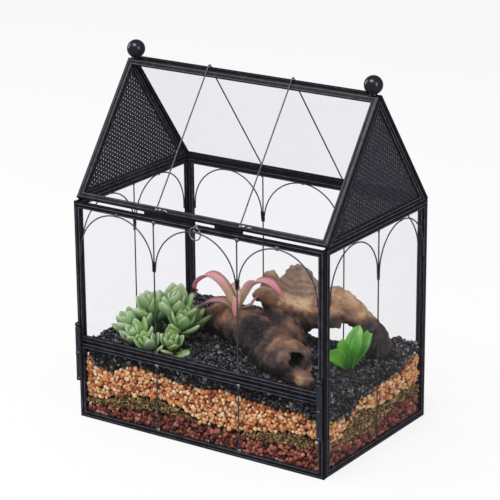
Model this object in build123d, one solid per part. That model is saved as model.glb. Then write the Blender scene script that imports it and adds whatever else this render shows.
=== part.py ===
from build123d import *
import os
from math import acos, ceil, cos, pi, radians, sin, tan

# Overall sizes of the case, in millimetres
width = 250.0
depth = 164.0
wall_height = 196.0
lower_front_height = 69.8
roof_pitch = 53.6

# Bar that holds every pane: a channel with crowned faces
bar_face = 5.6
bar_thickness = 3.4
bar_crown = 0.25
bar_web = 0.6
bar_edge_cut = 0.35
bar_slot = 2.2
glass_thickness = 2.0
pane_inset = 0.9

# Door fit
door_proud = 0.3
door_seam = 0.3

# Roof: how far the gable's foot stays behind the side wall's end
eave_setback = 2.31
ridge_rod_d = 3.6
finial_d = 15.7
finial_inset = 6.7
finial_neck_d = 5.6
finial_rise = 8.2
finial_chords = 7
round_sides = 16
facet_twist = 0.00001
rod_end_gap = 2.4

# Decorative wire on the outside of the glass
wire_d = 1.2
wire_flats = 6
wire_arc_chords = 10
wire_share = 1 / 3
arch_leg = 1.3
collar_width = 4.6
collar_foot_width = 2.8
collar_thickness = 1.5
front_collar_height = 9.0
side_collar_height = 14.0
roof_wire_foot = 10.0
roof_wire_bend = 2.2

# Perforated vent sheet in the gables
mesh_thickness = 0.8
mesh_pitch = 10.4
mesh_hole = 6.6
mesh_margin = 1.6

# Barrel hinges: pins of the door dropped into fixed sockets
barrel_d = 5.0
barrel_inset = 2.5
barrel_stand = 3.0
barrel_ring_d = 5.4
pin_d = 2.4
pin_clearance = 0.05
pin_end_gap = 1.0
leaf_thickness = 0.8
leaf_reach = 3.6
leaf_margin = 0.3
hinge_seam_drop = 7.8
socket_length = 26.5
socket_floor = 1.5
socket_ring = 4.0
knuckle_gap = 0.3
knuckle_length = 20.2
pin_head_height = 6.1
pin_collar = 1.2
pin_groove = 0.8

# Pull ring on the door's top rail
ring_d = 12.0
ring_wire = 1.1
ring_x = 2.0
eye_wire = 0.8
eye_clearance = 0.3
eye_below_top = 1.0
ring_sides = 24
eye_pad_d = 2.8
eye_pad_depth = 0.6

# Stop strips on the door's top rail: start and end along X
strip_thickness = 0.8
strip_height = 4.8
strip_spans = ((-52.0, 0.0), (19.0, 47.0))

# Filling: heights of each layer's top at equal steps from the left wall to the right wall
lava_tops = (13.0, 18.0, 26.0, 20.0, 23.0)
moss_tops = (18.0, 28.0, 30.0, 25.0, 32.0)
gravel_tops = (50.0, 56.0, 49.0, 52.0, 47.0)
soil_tops = (67.0, 70.0, 75.0, 76.0, 68.0)
filling_gap = 0.3
layer_chords = 16

# Driftwood limbs at each station: distance from the right pane, place along Y, height and radius
hollow_log = (
    (155.6, 8.0, 76.0, 15.0), (133.6, -4.0, 88.0, 17.0), (99.6, -24.0, 90.0, 18.0),
    (67.6, -40.0, 86.0, 17.0), (37.6, -52.0, 84.0, 16.0),
)
upright_limb = (
    (111.6, 16.0, 70.0, 15.0), (95.6, 14.0, 100.0, 18.0), (79.6, 12.0, 124.0, 17.0),
    (73.6, 12.0, 142.0, 9.0),
)
arch_limb = (
    (83.6, 12.0, 112.0, 12.0), (55.6, 14.0, 117.0, 15.0), (31.6, 18.0, 110.0, 12.0),
    (17.6, 26.0, 94.0, 10.0), (13.6, 32.0, 64.0, 12.6),
)
limb_sides = 10
log_mouth_d = 15.0
log_mouth_depth = 26.0

# Rosette: distance of its root from the left pane, and one value for each tier of leaves
succulent_from_pane = 49.6
succulent_y = -32.0
succulent_z = 66.0
succulent_points = (10, 9, 7, 5)
succulent_reach = (41.0, 36.0, 27.0, 14.0)
succulent_low = (0.0, 12.0, 26.0, 38.0)
succulent_high = (22.0, 36.0, 48.0, 57.0)
succulent_heart = 10.0
succulent_notch = 0.68

# Strap-leaved plant on the log, its root placed from the right pane
bromeliad_from_pane = 125.6
bromeliad_y = -12.0
bromeliad_z = 99.0
bromeliad_leaves = 8
bromeliad_bend = 26.0
bromeliad_leaf_turn = 105.0
bromeliad_leaf_width = 7.0
bromeliad_leaf_thickness = 1.6
bromeliad_stem_d = 7.0
bromeliad_stem_height = 10.0

# Broad leaves in the right front corner, placed from the right pane
cluster_from_pane = 17.6
cluster_y = -14.0
cluster_z = 66.0
cluster_turns = (200.0, -20.0, 60.0, 260.0)
cluster_rises = (52.0, 80.0, 74.0, 74.0)
cluster_lengths = (30.0, 36.0, 30.0, 27.0)
cluster_leaf_width = 17.0
cluster_leaf_thickness = 1.6
cluster_stem_d = 8.0
cluster_stem_height = 12.0

# Places worked out from the sizes above; Y is centred on everything that sticks out
front_reach = barrel_stand + barrel_ring_d / 2
back_reach = glass_thickness / 2 + collar_thickness - bar_thickness / 2
front = front_reach - (front_reach + depth + back_reach) / 2
back = front + depth
inner_front = front + bar_thickness
inner_back = back - bar_thickness
inner_side = width / 2 - bar_thickness
side_length = back - inner_front
side_middle = (inner_front + back) / 2
pitch = radians(roof_pitch)
eave_half = side_length / 2
gable_half = eave_half - eave_setback
gable_height = gable_half * tan(pitch)
underside_apex = wall_height + gable_height
front_slope = (eave_half - bar_thickness * sin(pitch)) / cos(pitch)
back_slope = gable_half / cos(pitch)
door_face = front - door_proud
door_bottom = lower_front_height + door_seam
wire_level = glass_thickness / 2 + wire_d / 2
barrel_x = width / 2 - barrel_inset
barrel_y = front - barrel_stand
socket_top = lower_front_height - hinge_seam_drop
socket_bottom = socket_top - socket_length
knuckle_bottom = socket_top + knuckle_gap
knuckle_top = knuckle_bottom + knuckle_length
wire_x = width * wire_share / 2
rail_top = wall_height - bar_face
front_arch_radius = wire_x - wire_d
side_arch_radius = (side_length / 2 - bar_face - 3 * wire_d / 2) / 2
arch_foot = rail_top - wire_d / 2 - max(front_arch_radius, side_arch_radius) - arch_leg
nodes = {}


def came_section():
    """Half-round channel: x runs inwards from the pane's edge, y across the thickness."""
    edge = bar_thickness / 2 - bar_crown
    slot = bar_slot / 2
    crest = (bar_face / 2, bar_thickness / 2)
    foot = (bar_face / 2, -bar_thickness / 2)
    with BuildSketch() as section:
        with BuildLine():
            ThreePointArc((0, edge), crest, (bar_face, edge))
            Polyline((bar_face, edge), (bar_face, slot), (bar_web, slot), (bar_web, -slot),
                     (bar_face, -slot), (bar_face, -edge))
            ThreePointArc((bar_face, -edge), foot, (0, -edge))
            Line((0, -edge), (0, edge))
        make_face()
        chamfer(section.vertices().group_by(Axis.X)[0], bar_edge_cut)
    return section.sketch


def mitre_corner(before, corner, after):
    """Inner end of the mitre line at a corner of an anticlockwise outline."""
    back_way = (before - corner).normalized()
    on_way = (after - corner).normalized()
    half = radians(back_way.get_angle(on_way) / 2)
    return corner + (back_way + on_way).normalized() * (bar_face / sin(half))


def came_frame(corners):
    """Bars mitred round a closed outline; corners run anticlockwise and the web is outside."""
    ends = [Vector(*corner) for corner in corners]
    count = len(ends)
    inner = [mitre_corner(ends[i - 1], ends[i], ends[(i + 1) % count]) for i in range(count)]
    bars = []
    for i in range(count):
        start, stop = ends[i], ends[(i + 1) % count]
        along = (stop - start).normalized()
        section = Plane(origin=start, x_dir=(-along.Y, along.X, 0), z_dir=along) * came_section()
        wedge = make_face(Polyline(start, stop, inner[(i + 1) % count], inner[i], close=True))
        bar = extrude(section, (stop - start).length)
        bars.append(bar & extrude(wedge, bar_thickness, both=True))
    return Part() + bars


def inset_outline(corners, inset):
    """The same closed outline moved inwards by the inset."""
    face = make_face(Polyline(*corners, close=True))
    return offset(face, -inset, kind=Kind.INTERSECTION)


def pane(corners, thickness):
    """Flat sheet that stands in the slot of the bars round the outline."""
    return extrude(inset_outline(corners, pane_inset), thickness / 2, both=True)


def rectangle_corners(across, low, high):
    """Corners of a panel centred across, between two heights."""
    return [(-across / 2, low), (across / 2, low), (across / 2, high), (-across / 2, high)]


def wire_section(size):
    """Section of a round wire, with a few flats in place of the circle."""
    return RegularPolygon(size / 2, wire_flats, major_radius=False, rotation=180 / wire_flats)


def wire_run(path, facing, size):
    """Wire along a smooth path: its arcs run in chords, and its flats keep their way round."""
    edges = path.order_edges()
    stations = [(edges[0] @ 0, edges[0] % 0)]
    for edge in edges:
        chords = 1 if edge.geom_type == GeomType.LINE else wire_arc_chords
        stations += [(edge @ (i / chords), edge % (i / chords)) for i in range(1, chords + 1)]
    rings = []
    for place, along in stations:
        facing = (facing - along * facing.dot(along)).normalized()
        rings.append(Plane(place, x_dir=facing, z_dir=along) * wire_section(size))
    return loft(rings, ruled=True)


def upright_wire(x, low, high):
    """Straight wire on the glass, butted between the lower and the upper bar."""
    base = Plane((x, low, wire_level), x_dir=(0, 0, 1), z_dir=(0, 1, 0))
    return extrude(base * wire_section(wire_d), high - low)


def arch_wire(left, right, top, foot):
    """Round-headed wire with straight legs; left and right are the centre lines of its legs."""
    radius = (right - left) / 2
    middle = (left + right) / 2
    spring = top - wire_d / 2 - radius
    path = Wire([
        Line((left, foot, wire_level), (left, spring, wire_level)).edge(),
        ThreePointArc((left, spring, wire_level), (middle, spring + radius, wire_level),
                      (right, spring, wire_level)).edge(),
        Line((right, spring, wire_level), (right, foot, wire_level)).edge(),
    ])
    return wire_run(path, Vector(0, 0, 1), wire_d)


def wire_collar(x, height):
    """Solder sleeve round an upright wire and the feet of its arches, narrower at the bottom."""
    foot = collar_foot_width / 2
    top = collar_width / 2
    sleeve = Polygon((-foot, 0), (foot, 0), (top, height), (-top, height), align=None)
    return Pos(x, arch_foot, glass_thickness / 2) * extrude(sleeve, collar_thickness)


def arched_wires(across, uprights, low, high, collar_height):
    """Upright wires with arches between them and the side bars."""
    side = across / 2 - bar_face - wire_d / 2
    legs = [-side] + [x for x in uprights] + [side]
    wires = [upright_wire(x, low, high) for x in uprights]
    wires += [wire_collar(x, collar_height) for x in uprights]
    for index in range(len(legs) - 1):
        left = legs[index] + (wire_d if index > 0 else 0)
        right = legs[index + 1] - (wire_d if index < len(uprights) else 0)
        wires.append(arch_wire(left, right, high, arch_foot))
    return Part() + wires


def add_panel(name, plane, corners, glazed=True):
    """Bars and pane of one panel, set on the panel's middle plane."""
    nodes[name + "_frame"] = plane * came_frame(corners)
    if glazed:
        nodes[name + "_glass"] = plane * pane(corners, glass_thickness)


# Panels of the case: each plane's Z points outwards and its Y points up
half_bar = bar_thickness / 2
floor_plane = Plane((0, (inner_front + inner_back) / 2, half_bar), x_dir=(1, 0, 0), z_dir=(0, 0, 1))
lower_plane = Plane((0, front + half_bar, 0), x_dir=(1, 0, 0), z_dir=(0, -1, 0))
door_plane = Plane((0, door_face + half_bar, 0), x_dir=(1, 0, 0), z_dir=(0, -1, 0))
back_plane = Plane((0, back - half_bar, 0), x_dir=(-1, 0, 0), z_dir=(0, 1, 0))
right_plane = Plane((width / 2 - half_bar, side_middle, 0), x_dir=(0, 1, 0), z_dir=(1, 0, 0))
left_plane = Plane((half_bar - width / 2, side_middle, 0), x_dir=(0, -1, 0), z_dir=(-1, 0, 0))

inner_depth = inner_back - inner_front
floor_corners = rectangle_corners(2 * inner_side, -inner_depth / 2, inner_depth / 2)
lower_corners = rectangle_corners(width, 0, lower_front_height)
door_corners = rectangle_corners(width, door_bottom, wall_height)
side_corners = rectangle_corners(side_length, 0, wall_height)
back_corners = rectangle_corners(2 * inner_side, 0, wall_height)
gable_corners = [(-gable_half, wall_height), (gable_half, wall_height), (0, underside_apex)]

add_panel("floor", floor_plane, floor_corners)
add_panel("lower_front", lower_plane, lower_corners)
add_panel("left_wall", left_plane, side_corners)
add_panel("right_wall", right_plane, side_corners)
add_panel("back_wall", back_plane, back_corners)
add_panel("left_gable", left_plane, gable_corners, glazed=False)
add_panel("right_gable", right_plane, gable_corners, glazed=False)
add_panel("door", door_plane, door_corners)

# Wires of the upright panels
nodes["lower_front_wires"] = lower_plane * (Part() + [
    upright_wire(x, bar_face, lower_front_height - bar_face) for x in (-wire_x, wire_x)
])
nodes["door_wires"] = door_plane * arched_wires(
    width, (-wire_x, wire_x), door_bottom + bar_face, rail_top, front_collar_height)
nodes["back_wall_wires"] = back_plane * arched_wires(
    2 * inner_side, (-wire_x, wire_x), bar_face, rail_top, front_collar_height)
for side, plane in (("left", left_plane), ("right", right_plane)):
    nodes[side + "_wall_wires"] = plane * arched_wires(
        side_length, (0,), bar_face, rail_top, side_collar_height)


def vent_sheet(corners):
    """Triangular sheet with rows of holes, staggered by half a pitch."""
    sheet = inset_outline(corners, pane_inset)
    open_area = inset_outline(corners, bar_face + mesh_margin + mesh_hole / 2).face()
    row = mesh_pitch * sin(pi / 3)
    columns = ceil(gable_half / row)
    rows = ceil(gable_height / mesh_pitch)
    holes = []
    for column in range(-columns, columns + 1):
        for step in range(rows):
            spot = Vector(column * row, wall_height + (step + column % 2 / 2) * mesh_pitch)
            if open_area.is_inside(spot):
                holes.append(Pos(spot.X, spot.Y) * RegularPolygon(mesh_hole / 2, 6))
    return extrude(sheet - holes, mesh_thickness / 2, both=True)


nodes["left_gable_mesh"] = left_plane * vent_sheet(gable_corners)
nodes["right_gable_mesh"] = right_plane * vent_sheet(gable_corners)

# Roof: both panels hang from the underside apex
slope_down = half_bar * sin(pitch)
slope_up = underside_apex + half_bar * cos(pitch)
front_roof = Plane((0, side_middle - slope_down, slope_up), x_dir=(1, 0, 0),
                   z_dir=(0, -sin(pitch), cos(pitch)))
back_roof = Plane((0, side_middle + slope_down, slope_up), x_dir=(-1, 0, 0),
                  z_dir=(0, sin(pitch), cos(pitch)))
add_panel("front_roof", front_roof, rectangle_corners(width, -front_slope, 0))
add_panel("back_roof", back_roof, rectangle_corners(width, -back_slope, 0))


def roof_wire(x):
    """One wire from the front eave over the ridge to the back eave, its foot bent sideways."""
    lie = half_bar + wire_d / 2
    top = underside_apex + (bar_thickness + wire_d / 2) / cos(pitch)
    front_foot = front_roof.from_local_coords((x, bar_face / 2 - front_slope, lie))
    foot_end = front_roof.from_local_coords((x + roof_wire_foot, bar_face / 2 - front_slope, lie))
    back_foot = back_roof.from_local_coords((-x, bar_face / 2 - back_slope, lie))
    path = FilletPolyline(foot_end, front_foot, (x, side_middle, top), back_foot,
                          radius=roof_wire_bend)
    return wire_run(path, front_roof.z_dir, wire_d)


nodes["roof_wires"] = Part() + [roof_wire(-wire_x), roof_wire(wire_x)]

# Ridge rod lies in the groove between the roof panels' top bars
rod_z = underside_apex + ridge_rod_d / 2 / sin(pitch)
finial_x = width / 2 - finial_inset
rod_length = 2 * (finial_x - finial_neck_d / 2 - rod_end_gap)
rod_plane = Plane((-rod_length / 2, side_middle, rod_z), x_dir=(0, 1, 0), z_dir=(1, 0, 0))
nodes["ridge_rod"] = extrude(rod_plane * RegularPolygon(ridge_rod_d / 2, round_sides), rod_length)


def flat_ends(level, corners):
    """Places of the corners, given across and up, on a level plane."""
    return [level.from_local_coords((across, up, 0)) for across, up in corners]


def round_corners(radius, sides):
    """Corners of a regular outline with the given number of sides."""
    turns = [2 * pi * index / sides for index in range(sides)]
    return [(radius * cos(turn), radius * sin(turn)) for turn in turns]


def faceted(rings):
    """Solid through rings of places: a flat face for each side of each ring, or two if it twists."""
    faces = [Face(Wire.make_polygon(rings[0])), Face(Wire.make_polygon(rings[-1]))]
    for lower, upper in zip(rings, rings[1:]):
        for index in range(len(lower)):
            a, b = lower[index - 1], lower[index]
            c, d = upper[index], upper[index - 1]
            twist = (b - a).cross(d - a).normalized().dot(c - a)
            if abs(twist) < facet_twist:
                faces.append(Face(Wire.make_polygon((a, b, c, d))))
            else:
                faces.append(Face(Wire.make_polygon((a, b, c))))
                faces.append(Face(Wire.make_polygon((a, c, d))))
    return Solid(Shell(faces))


def turned(stations):
    """Round body with many flats, from its radius and height at each station."""
    rings = [flat_ends(Plane((0, 0, height)), round_corners(radius, round_sides))
             for radius, height in stations]
    return faceted(rings)


def finial(x):
    """Ball on a short neck that stands on the arrises of the two top bars."""
    neck_bottom = underside_apex + (bar_thickness - bar_crown) * cos(pitch)
    neck = finial_neck_d / 2
    ball = finial_d / 2
    start = -acos(neck / ball)
    step = (pi / 2 - start) / (finial_chords + 0.5)
    stations = [(neck, 0)]
    for index in range(finial_chords + 1):
        angle = start + index * step
        stations.append((ball * cos(angle), finial_rise + ball * sin(angle)))
    return Pos(x, side_middle, neck_bottom) * turned(stations)


nodes["left_finial"] = finial(-finial_x)
nodes["right_finial"] = finial(finial_x)


def hinge_leaf(side, face, low, high):
    """Flat leaf soldered on a bar's face, reaching from the barrel towards the middle."""
    leaf = Box(leaf_reach, leaf_thickness, high - low, align=(Align.MIN, Align.MAX, Align.MIN))
    if side > 0:
        return Pos(barrel_x - leaf_reach, face, low) * leaf
    return Pos(-barrel_x, face, low) * leaf


def socket(side):
    """Fixed lower barrel with a closed bottom, a ring at its mouth and its leaf."""
    tube = turned(((barrel_d / 2, socket_bottom), (barrel_d / 2, socket_top)))
    ring = turned(((barrel_ring_d / 2, socket_top - socket_ring), (barrel_ring_d / 2, socket_top)))
    leaf = hinge_leaf(side, front, socket_bottom + leaf_margin, socket_top - leaf_margin)
    floor = socket_bottom + socket_floor
    bore = Pos(side * barrel_x, barrel_y, floor) * Cylinder(
        pin_d / 2 + pin_clearance, socket_top - floor,
        align=(Align.CENTER, Align.CENTER, Align.MIN))
    return Pos(side * barrel_x, barrel_y, 0) * (tube + ring) + leaf - bore


def knuckle(side):
    """Upper barrel on the door's stile, with the pin soldered through it."""
    leaf = hinge_leaf(side, door_face, door_bottom + leaf_margin, knuckle_top)
    tube = Pos(side * barrel_x, barrel_y, 0) * turned(
        ((barrel_d / 2, knuckle_bottom), (barrel_d / 2, knuckle_top)))
    bore = Pos(side * barrel_x, barrel_y, knuckle_bottom) * Cylinder(
        pin_d / 2, knuckle_length, align=(Align.CENTER, Align.CENTER, Align.MIN))
    return tube + leaf - bore


def pin(side):
    """Headed pin: a collar, a groove and a rounded top above the knuckle."""
    head = barrel_ring_d / 2
    groove = head - pin_groove
    bottom = socket_bottom + socket_floor + pin_end_gap
    top = knuckle_top + pin_head_height
    shoulder = top - head
    waist = (knuckle_top + pin_collar + shoulder) / 2
    shank = Pos(0, 0, bottom) * Cylinder(
        pin_d / 2, knuckle_top - bottom, align=(Align.CENTER, Align.CENTER, Align.MIN))
    stations = (
        (head, knuckle_top), (head, knuckle_top + pin_collar), (groove, waist), (head, shoulder),
        (head * cos(pi / 4), shoulder + head * sin(pi / 4)), (head * cos(1.4), top))
    return Pos(side * barrel_x, barrel_y, 0) * (shank + turned(stations))


for side, sign in (("left", -1), ("right", 1)):
    nodes[side + "_socket"] = socket(sign)
    nodes[side + "_knuckle"] = knuckle(sign)
    nodes[side + "_pin"] = pin(sign)

# Stop strips stand on the door's top rail, in front of the eave
nodes["stop_strips"] = Part() + [
    Pos(start, door_face + half_bar, wall_height) * Box(
        end - start, strip_thickness, strip_height, align=(Align.MIN, Align.CENTER, Align.MIN))
    for start, end in strip_spans
]

# Pull ring hangs in its eye: the eye runs round the ring's top
eye_inner = ring_wire / 2 + eye_clearance
eye_radius = eye_inner + eye_wire / 2
ring_top = wall_height - eye_below_top
ring_y = door_face - eye_pad_depth - eye_inner - eye_wire + bar_crown
ring_radius = (ring_d - ring_wire) / 2


def flat_ring(plane, radius, wire, opening):
    """Ring of wire round the plane's Z axis: flats outside, and the opening given."""
    rim = RegularPolygon(radius + wire / 2, ring_sides)
    return extrude(plane * (rim - opening), wire / 2, both=True)


eye_plane = Plane((ring_x, ring_y, ring_top), x_dir=(0, 0, 1), z_dir=(1, 0, 0))
eye_loop = flat_ring(eye_plane, eye_radius, eye_wire, Circle(eye_inner))
eye_pad = Plane((ring_x, door_face, ring_top - eye_pad_d / 4), z_dir=(0, -1, 0))
pad = extrude(eye_pad * RegularPolygon(eye_pad_d / 2, round_sides), eye_pad_depth)
nodes["ring_eye"] = eye_loop + pad
ring_plane = Plane((ring_x, ring_y, ring_top - ring_radius), x_dir=(0, 0, 1), z_dir=(0, 1, 0))
ring_hole = RegularPolygon(ring_radius - ring_wire / 2, ring_sides)
nodes["pull_ring"] = flat_ring(ring_plane, ring_radius, ring_wire, ring_hole)


def layer_edge(tops):
    """Points along the smooth line through a layer's heights, from wall to wall."""
    reach = inner_side - filling_gap
    step = 2 * reach / (len(tops) - 1)
    line = Spline(*[(index * step - reach, top) for index, top in enumerate(tops)])
    return [line @ (index / layer_chords) for index in range(layer_chords + 1)]


def filling_layer(below, above):
    """One layer of the filling between two lines, as deep as the case."""
    outline = layer_edge(below) + layer_edge(above)[::-1]
    profile = Plane.XZ * make_face(Polyline(*outline, close=True))
    solid = extrude(profile, inner_depth - 2 * filling_gap)
    return Pos(0, inner_back - filling_gap, 0) * solid


filling_floor = [bar_thickness] * len(lava_tops)
nodes["lava_layer"] = filling_layer(filling_floor, lava_tops)
nodes["moss_layer"] = filling_layer(lava_tops, moss_tops)
nodes["gravel_layer"] = filling_layer(moss_tops, gravel_tops)
nodes["soil_layer"] = filling_layer(gravel_tops, soil_tops)


def limb(stations):
    """Tapering branch: rings at the stations, square to the way it grows, joined by a loft."""
    points = [Vector(inner_side - station[0], *station[1:3]) for station in stations]
    rings = []
    for index, station in enumerate(stations):
        before = points[max(index - 1, 0)]
        after = points[min(index + 1, len(points) - 1)]
        level = Plane(points[index], x_dir=(0, -1, 0), z_dir=after - before)
        rings.append(flat_ends(level, round_corners(station[3], limb_sides)))
    return faceted(rings)


def driftwood():
    """Hollow log in front, an upright limb and the limb that arches down to the right."""
    inside, mouth = [Vector(inner_side - place[0], *place[1:3]) for place in hollow_log[-2:]]
    bore = extrude(Plane(mouth, z_dir=inside - mouth) * Circle(log_mouth_d / 2), log_mouth_depth)
    wood = limb(hollow_log) - bore + limb(upright_limb) + limb(arch_limb)
    return wood - nodes["soil_layer"] - nodes["gravel_layer"]


def fleshy_leaf(length, wide, thick):
    """Pointed leaf along X: thin root, full middle, pointed tip."""
    rings = []
    for share, full in ((0.0, 0.35), (0.45, 0.8), (0.75, 1.0), (1.0, 0.08)):
        side, top = wide / 2 * full, thick / 2 * full
        level = Plane((share * length, 0, 0), x_dir=(0, 1, 0), z_dir=(1, 0, 0))
        rings.append(flat_ends(level, ((-side, 0), (0, -top), (side, 0), (0, top))))
    return faceted(rings)


def star(points, tip, height, turn):
    """Corners of a level star with the given number of tips."""
    corners = []
    for index in range(2 * points):
        reach = tip * succulent_notch if index % 2 else tip
        angle = radians(turn) + index * pi / points
        corners.append((reach * cos(angle), reach * sin(angle)))
    return flat_ends(Plane((0, 0, height)), corners)


def succulent():
    """Rosette: tiers of pointed fleshy leaves, each tier a ring that opens upwards."""
    tiers = []
    for tier, points in enumerate(succulent_points):
        turn = tier * 180 / points
        tip, low, high = succulent_reach[tier], succulent_low[tier], succulent_high[tier]
        rings = (star(points, succulent_heart, low, turn),
                 star(points, 0.9 * tip, (low + high) / 2, turn),
                 star(points, tip, high, turn))
        tiers.append(faceted(rings))
    root_x = succulent_from_pane - inner_side
    plant = Pos(root_x, succulent_y, succulent_z) * (Part() + tiers)
    return plant - nodes["soil_layer"] - nodes["driftwood"]


def bromeliad():
    """Arching strap leaves round a short stem on the log, each narrower towards its tip."""
    bend = bromeliad_bend
    rings = []
    for share, full in ((0.0, 0.7), (0.2, 1.0), (0.45, 1.0), (0.7, 0.8), (0.9, 0.5), (1.0, 0.1)):
        angle = radians(share * bromeliad_leaf_turn)
        level = Plane((bend * (1 - cos(angle)), 0, bend * sin(angle)), x_dir=(0, 1, 0),
                      z_dir=(sin(angle), 0, cos(angle)))
        side, top = bromeliad_leaf_width / 2 * full, bromeliad_leaf_thickness / 2
        rings.append(flat_ends(level, ((-side, -top), (side, -top), (side, top), (-side, top))))
    strap = faceted(rings)
    turns = [index * 360 / bromeliad_leaves for index in range(bromeliad_leaves)]
    stem = extrude(RegularPolygon(bromeliad_stem_d / 2, 8), bromeliad_stem_height / 2, both=True)
    plant = stem + [Rot(0, 0, turn) * strap for turn in turns]
    return Pos(inner_side - bromeliad_from_pane, bromeliad_y, bromeliad_z) * plant


def leaf_cluster():
    """Broad pointed leaves fanned out of one root."""
    blades = []
    for turn, rise, length in zip(cluster_turns, cluster_rises, cluster_lengths):
        blade = fleshy_leaf(length, cluster_leaf_width, cluster_leaf_thickness)
        blades.append(Rot(0, 0, turn) * (Rot(0, -rise, 0) * blade))
    stem = extrude(RegularPolygon(cluster_stem_d / 2, 8), cluster_stem_height / 2, both=True)
    plant = Pos(inner_side - cluster_from_pane, cluster_y, cluster_z) * (stem + blades)
    return plant - nodes["soil_layer"]


nodes["driftwood"] = driftwood()
nodes["succulent"] = succulent()
nodes["bromeliad"] = bromeliad() - nodes["driftwood"]
nodes["leaf_cluster"] = leaf_cluster()

os.makedirs("parts", exist_ok=True)
for name, shape in nodes.items():
    export_step(shape, os.path.join("parts", name + ".step"))
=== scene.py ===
import bpy
import numpy as np
from mathutils import Matrix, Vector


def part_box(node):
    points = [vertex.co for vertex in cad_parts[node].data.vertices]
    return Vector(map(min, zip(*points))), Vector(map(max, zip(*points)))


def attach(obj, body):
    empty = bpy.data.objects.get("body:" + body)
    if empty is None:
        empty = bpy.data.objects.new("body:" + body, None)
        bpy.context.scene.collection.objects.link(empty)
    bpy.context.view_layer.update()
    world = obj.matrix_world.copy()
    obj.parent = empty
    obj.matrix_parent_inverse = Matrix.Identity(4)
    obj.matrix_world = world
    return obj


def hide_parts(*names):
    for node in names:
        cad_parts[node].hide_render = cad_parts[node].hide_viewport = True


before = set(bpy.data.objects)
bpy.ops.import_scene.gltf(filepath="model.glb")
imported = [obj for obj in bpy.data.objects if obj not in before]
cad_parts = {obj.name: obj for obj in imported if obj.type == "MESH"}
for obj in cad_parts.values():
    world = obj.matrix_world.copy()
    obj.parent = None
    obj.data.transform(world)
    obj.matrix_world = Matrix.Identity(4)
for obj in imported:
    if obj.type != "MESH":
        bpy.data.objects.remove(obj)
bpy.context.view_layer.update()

# Studio floor: a sheet of white board under the case, matt and evenly lit.
# The camera and the glass see it nearly white, and it keeps a soft shadow of the case.
FLOOR_HALF = 6.0
FLOOR_DROP = 0.0002
BOARD_WHITE = "#f4f4f6"
BOARD_GLOW = 0.8
BOARD_REFLECTION = 0.14


def linear(hex_code):
    """An sRGB hex colour as linear RGBA: the standard sRGB curve undone, channel by channel."""
    channels = np.array([int(hex_code[i:i + 2], 16) for i in (1, 3, 5)]) / 255
    low = channels / 12.92
    high = ((channels + 0.055) / 1.055) ** 2.4
    return (*np.where(channels <= 0.04045, low, high), 1.0)


def add_node(tree, kind, inputs=None, stops=(), **settings):
    """Adds a node with its settings. Each input is a value, an output that feeds it, or a node
    whose first output in use does; a ramp's stops are pairs of a position and a hex colour."""
    new = tree.nodes.new("ShaderNode" + kind)
    for name, value in settings.items():
        setattr(new, name, value)
    for name, value in (inputs or {}).items():
        if isinstance(value, bpy.types.Node):
            value = next(output for output in value.outputs if output.enabled)
        if isinstance(value, bpy.types.NodeSocket):
            tree.links.new(value, new.inputs[name])
        else:
            new.inputs[name].default_value = value
    for extra in stops[2:]:
        new.color_ramp.elements.new(0.5)
    for number, (position, colour) in enumerate(stops):
        new.color_ramp.elements[number].position = position
        new.color_ramp.elements[number].color = linear(colour)
    return new


def start_material(name):
    """A node material that holds nothing yet, its tree, and object coordinates for patterns."""
    material = bpy.data.materials.new(name)
    material.use_nodes = True
    tree = material.node_tree
    tree.nodes.clear()
    return material, tree, add_node(tree, "TexCoord").outputs["Object"]


def finished(material, shader):
    """The material with its shader joined to the surface."""
    add_node(material.node_tree, "OutputMaterial", {"Surface": shader})
    return material


def sight_rays(tree):
    """Two switches: 1 for rays that look straight or through glass, and 1 for rays that met a
    mirroring surface on their way, also inside a pane."""
    rays = add_node(tree, "LightPath")
    seen = add_node(tree, "Math", {0: rays.outputs["Is Camera Ray"],
                                   1: rays.outputs["Is Transmission Ray"]}, operation="MAXIMUM")
    mirrored = add_node(tree, "Math", {0: rays.outputs["Glossy Depth"], 1: 1.0},
                        operation="MINIMUM")
    return seen, mirrored


def white_board():
    """Matt white card: light falls off softly on it, and seen directly it is close to white."""
    material, tree, _ = start_material("white_board")
    seen, mirrored = sight_rays(tree)
    card = add_node(tree, "BsdfDiffuse", {"Color": linear(BOARD_WHITE)})
    glow = add_node(tree, "Emission", {"Color": (1, 1, 1, 1), "Strength": 1.0})
    share = add_node(tree, "Math", {0: seen, 1: BOARD_GLOW}, operation="MULTIPLY")
    mix = add_node(tree, "MixShader", {0: share, 1: card, 2: glow})
    dim = add_node(tree, "Emission", {"Color": (1, 1, 1, 1), "Strength": BOARD_REFLECTION})
    board = add_node(tree, "MixShader", {0: mirrored, 1: mix, 2: dim})
    return finished(material, board)


floor_mesh = bpy.data.meshes.new("studio_floor")
floor_mesh.from_pydata(
    [(-FLOOR_HALF, -FLOOR_HALF, 0), (FLOOR_HALF, -FLOOR_HALF, 0),
     (FLOOR_HALF, FLOOR_HALF, 0), (-FLOOR_HALF, FLOOR_HALF, 0)], [], [(0, 1, 2, 3)])
floor_mesh.materials.append(white_board())
studio_floor = bpy.data.objects.new("studio_floor", floor_mesh)
studio_floor.location.z = -FLOOR_DROP
bpy.context.scene.collection.objects.link(studio_floor)

# Studio light: a pale room, a large soft box high in front and a weaker one on each side.
# The room is white where it is seen, and dimmer in what it gives to the object.
ROOM_LIGHT = 0.55
ROOM_REFLECTION = 0.1
BOXES = (
    ("key_soft_box", (-0.1, -1.1, 2.1), (1.3, 0.8), 26.0),
    ("right_soft_box", (1.9, -0.6, 1.0), (0.7, 1.2), 11.0),
    ("left_soft_box", (-2.0, -0.3, 0.9), (0.7, 1.2), 10.0),
)
AIM = (0.0, 0.0, 0.14)

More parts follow.
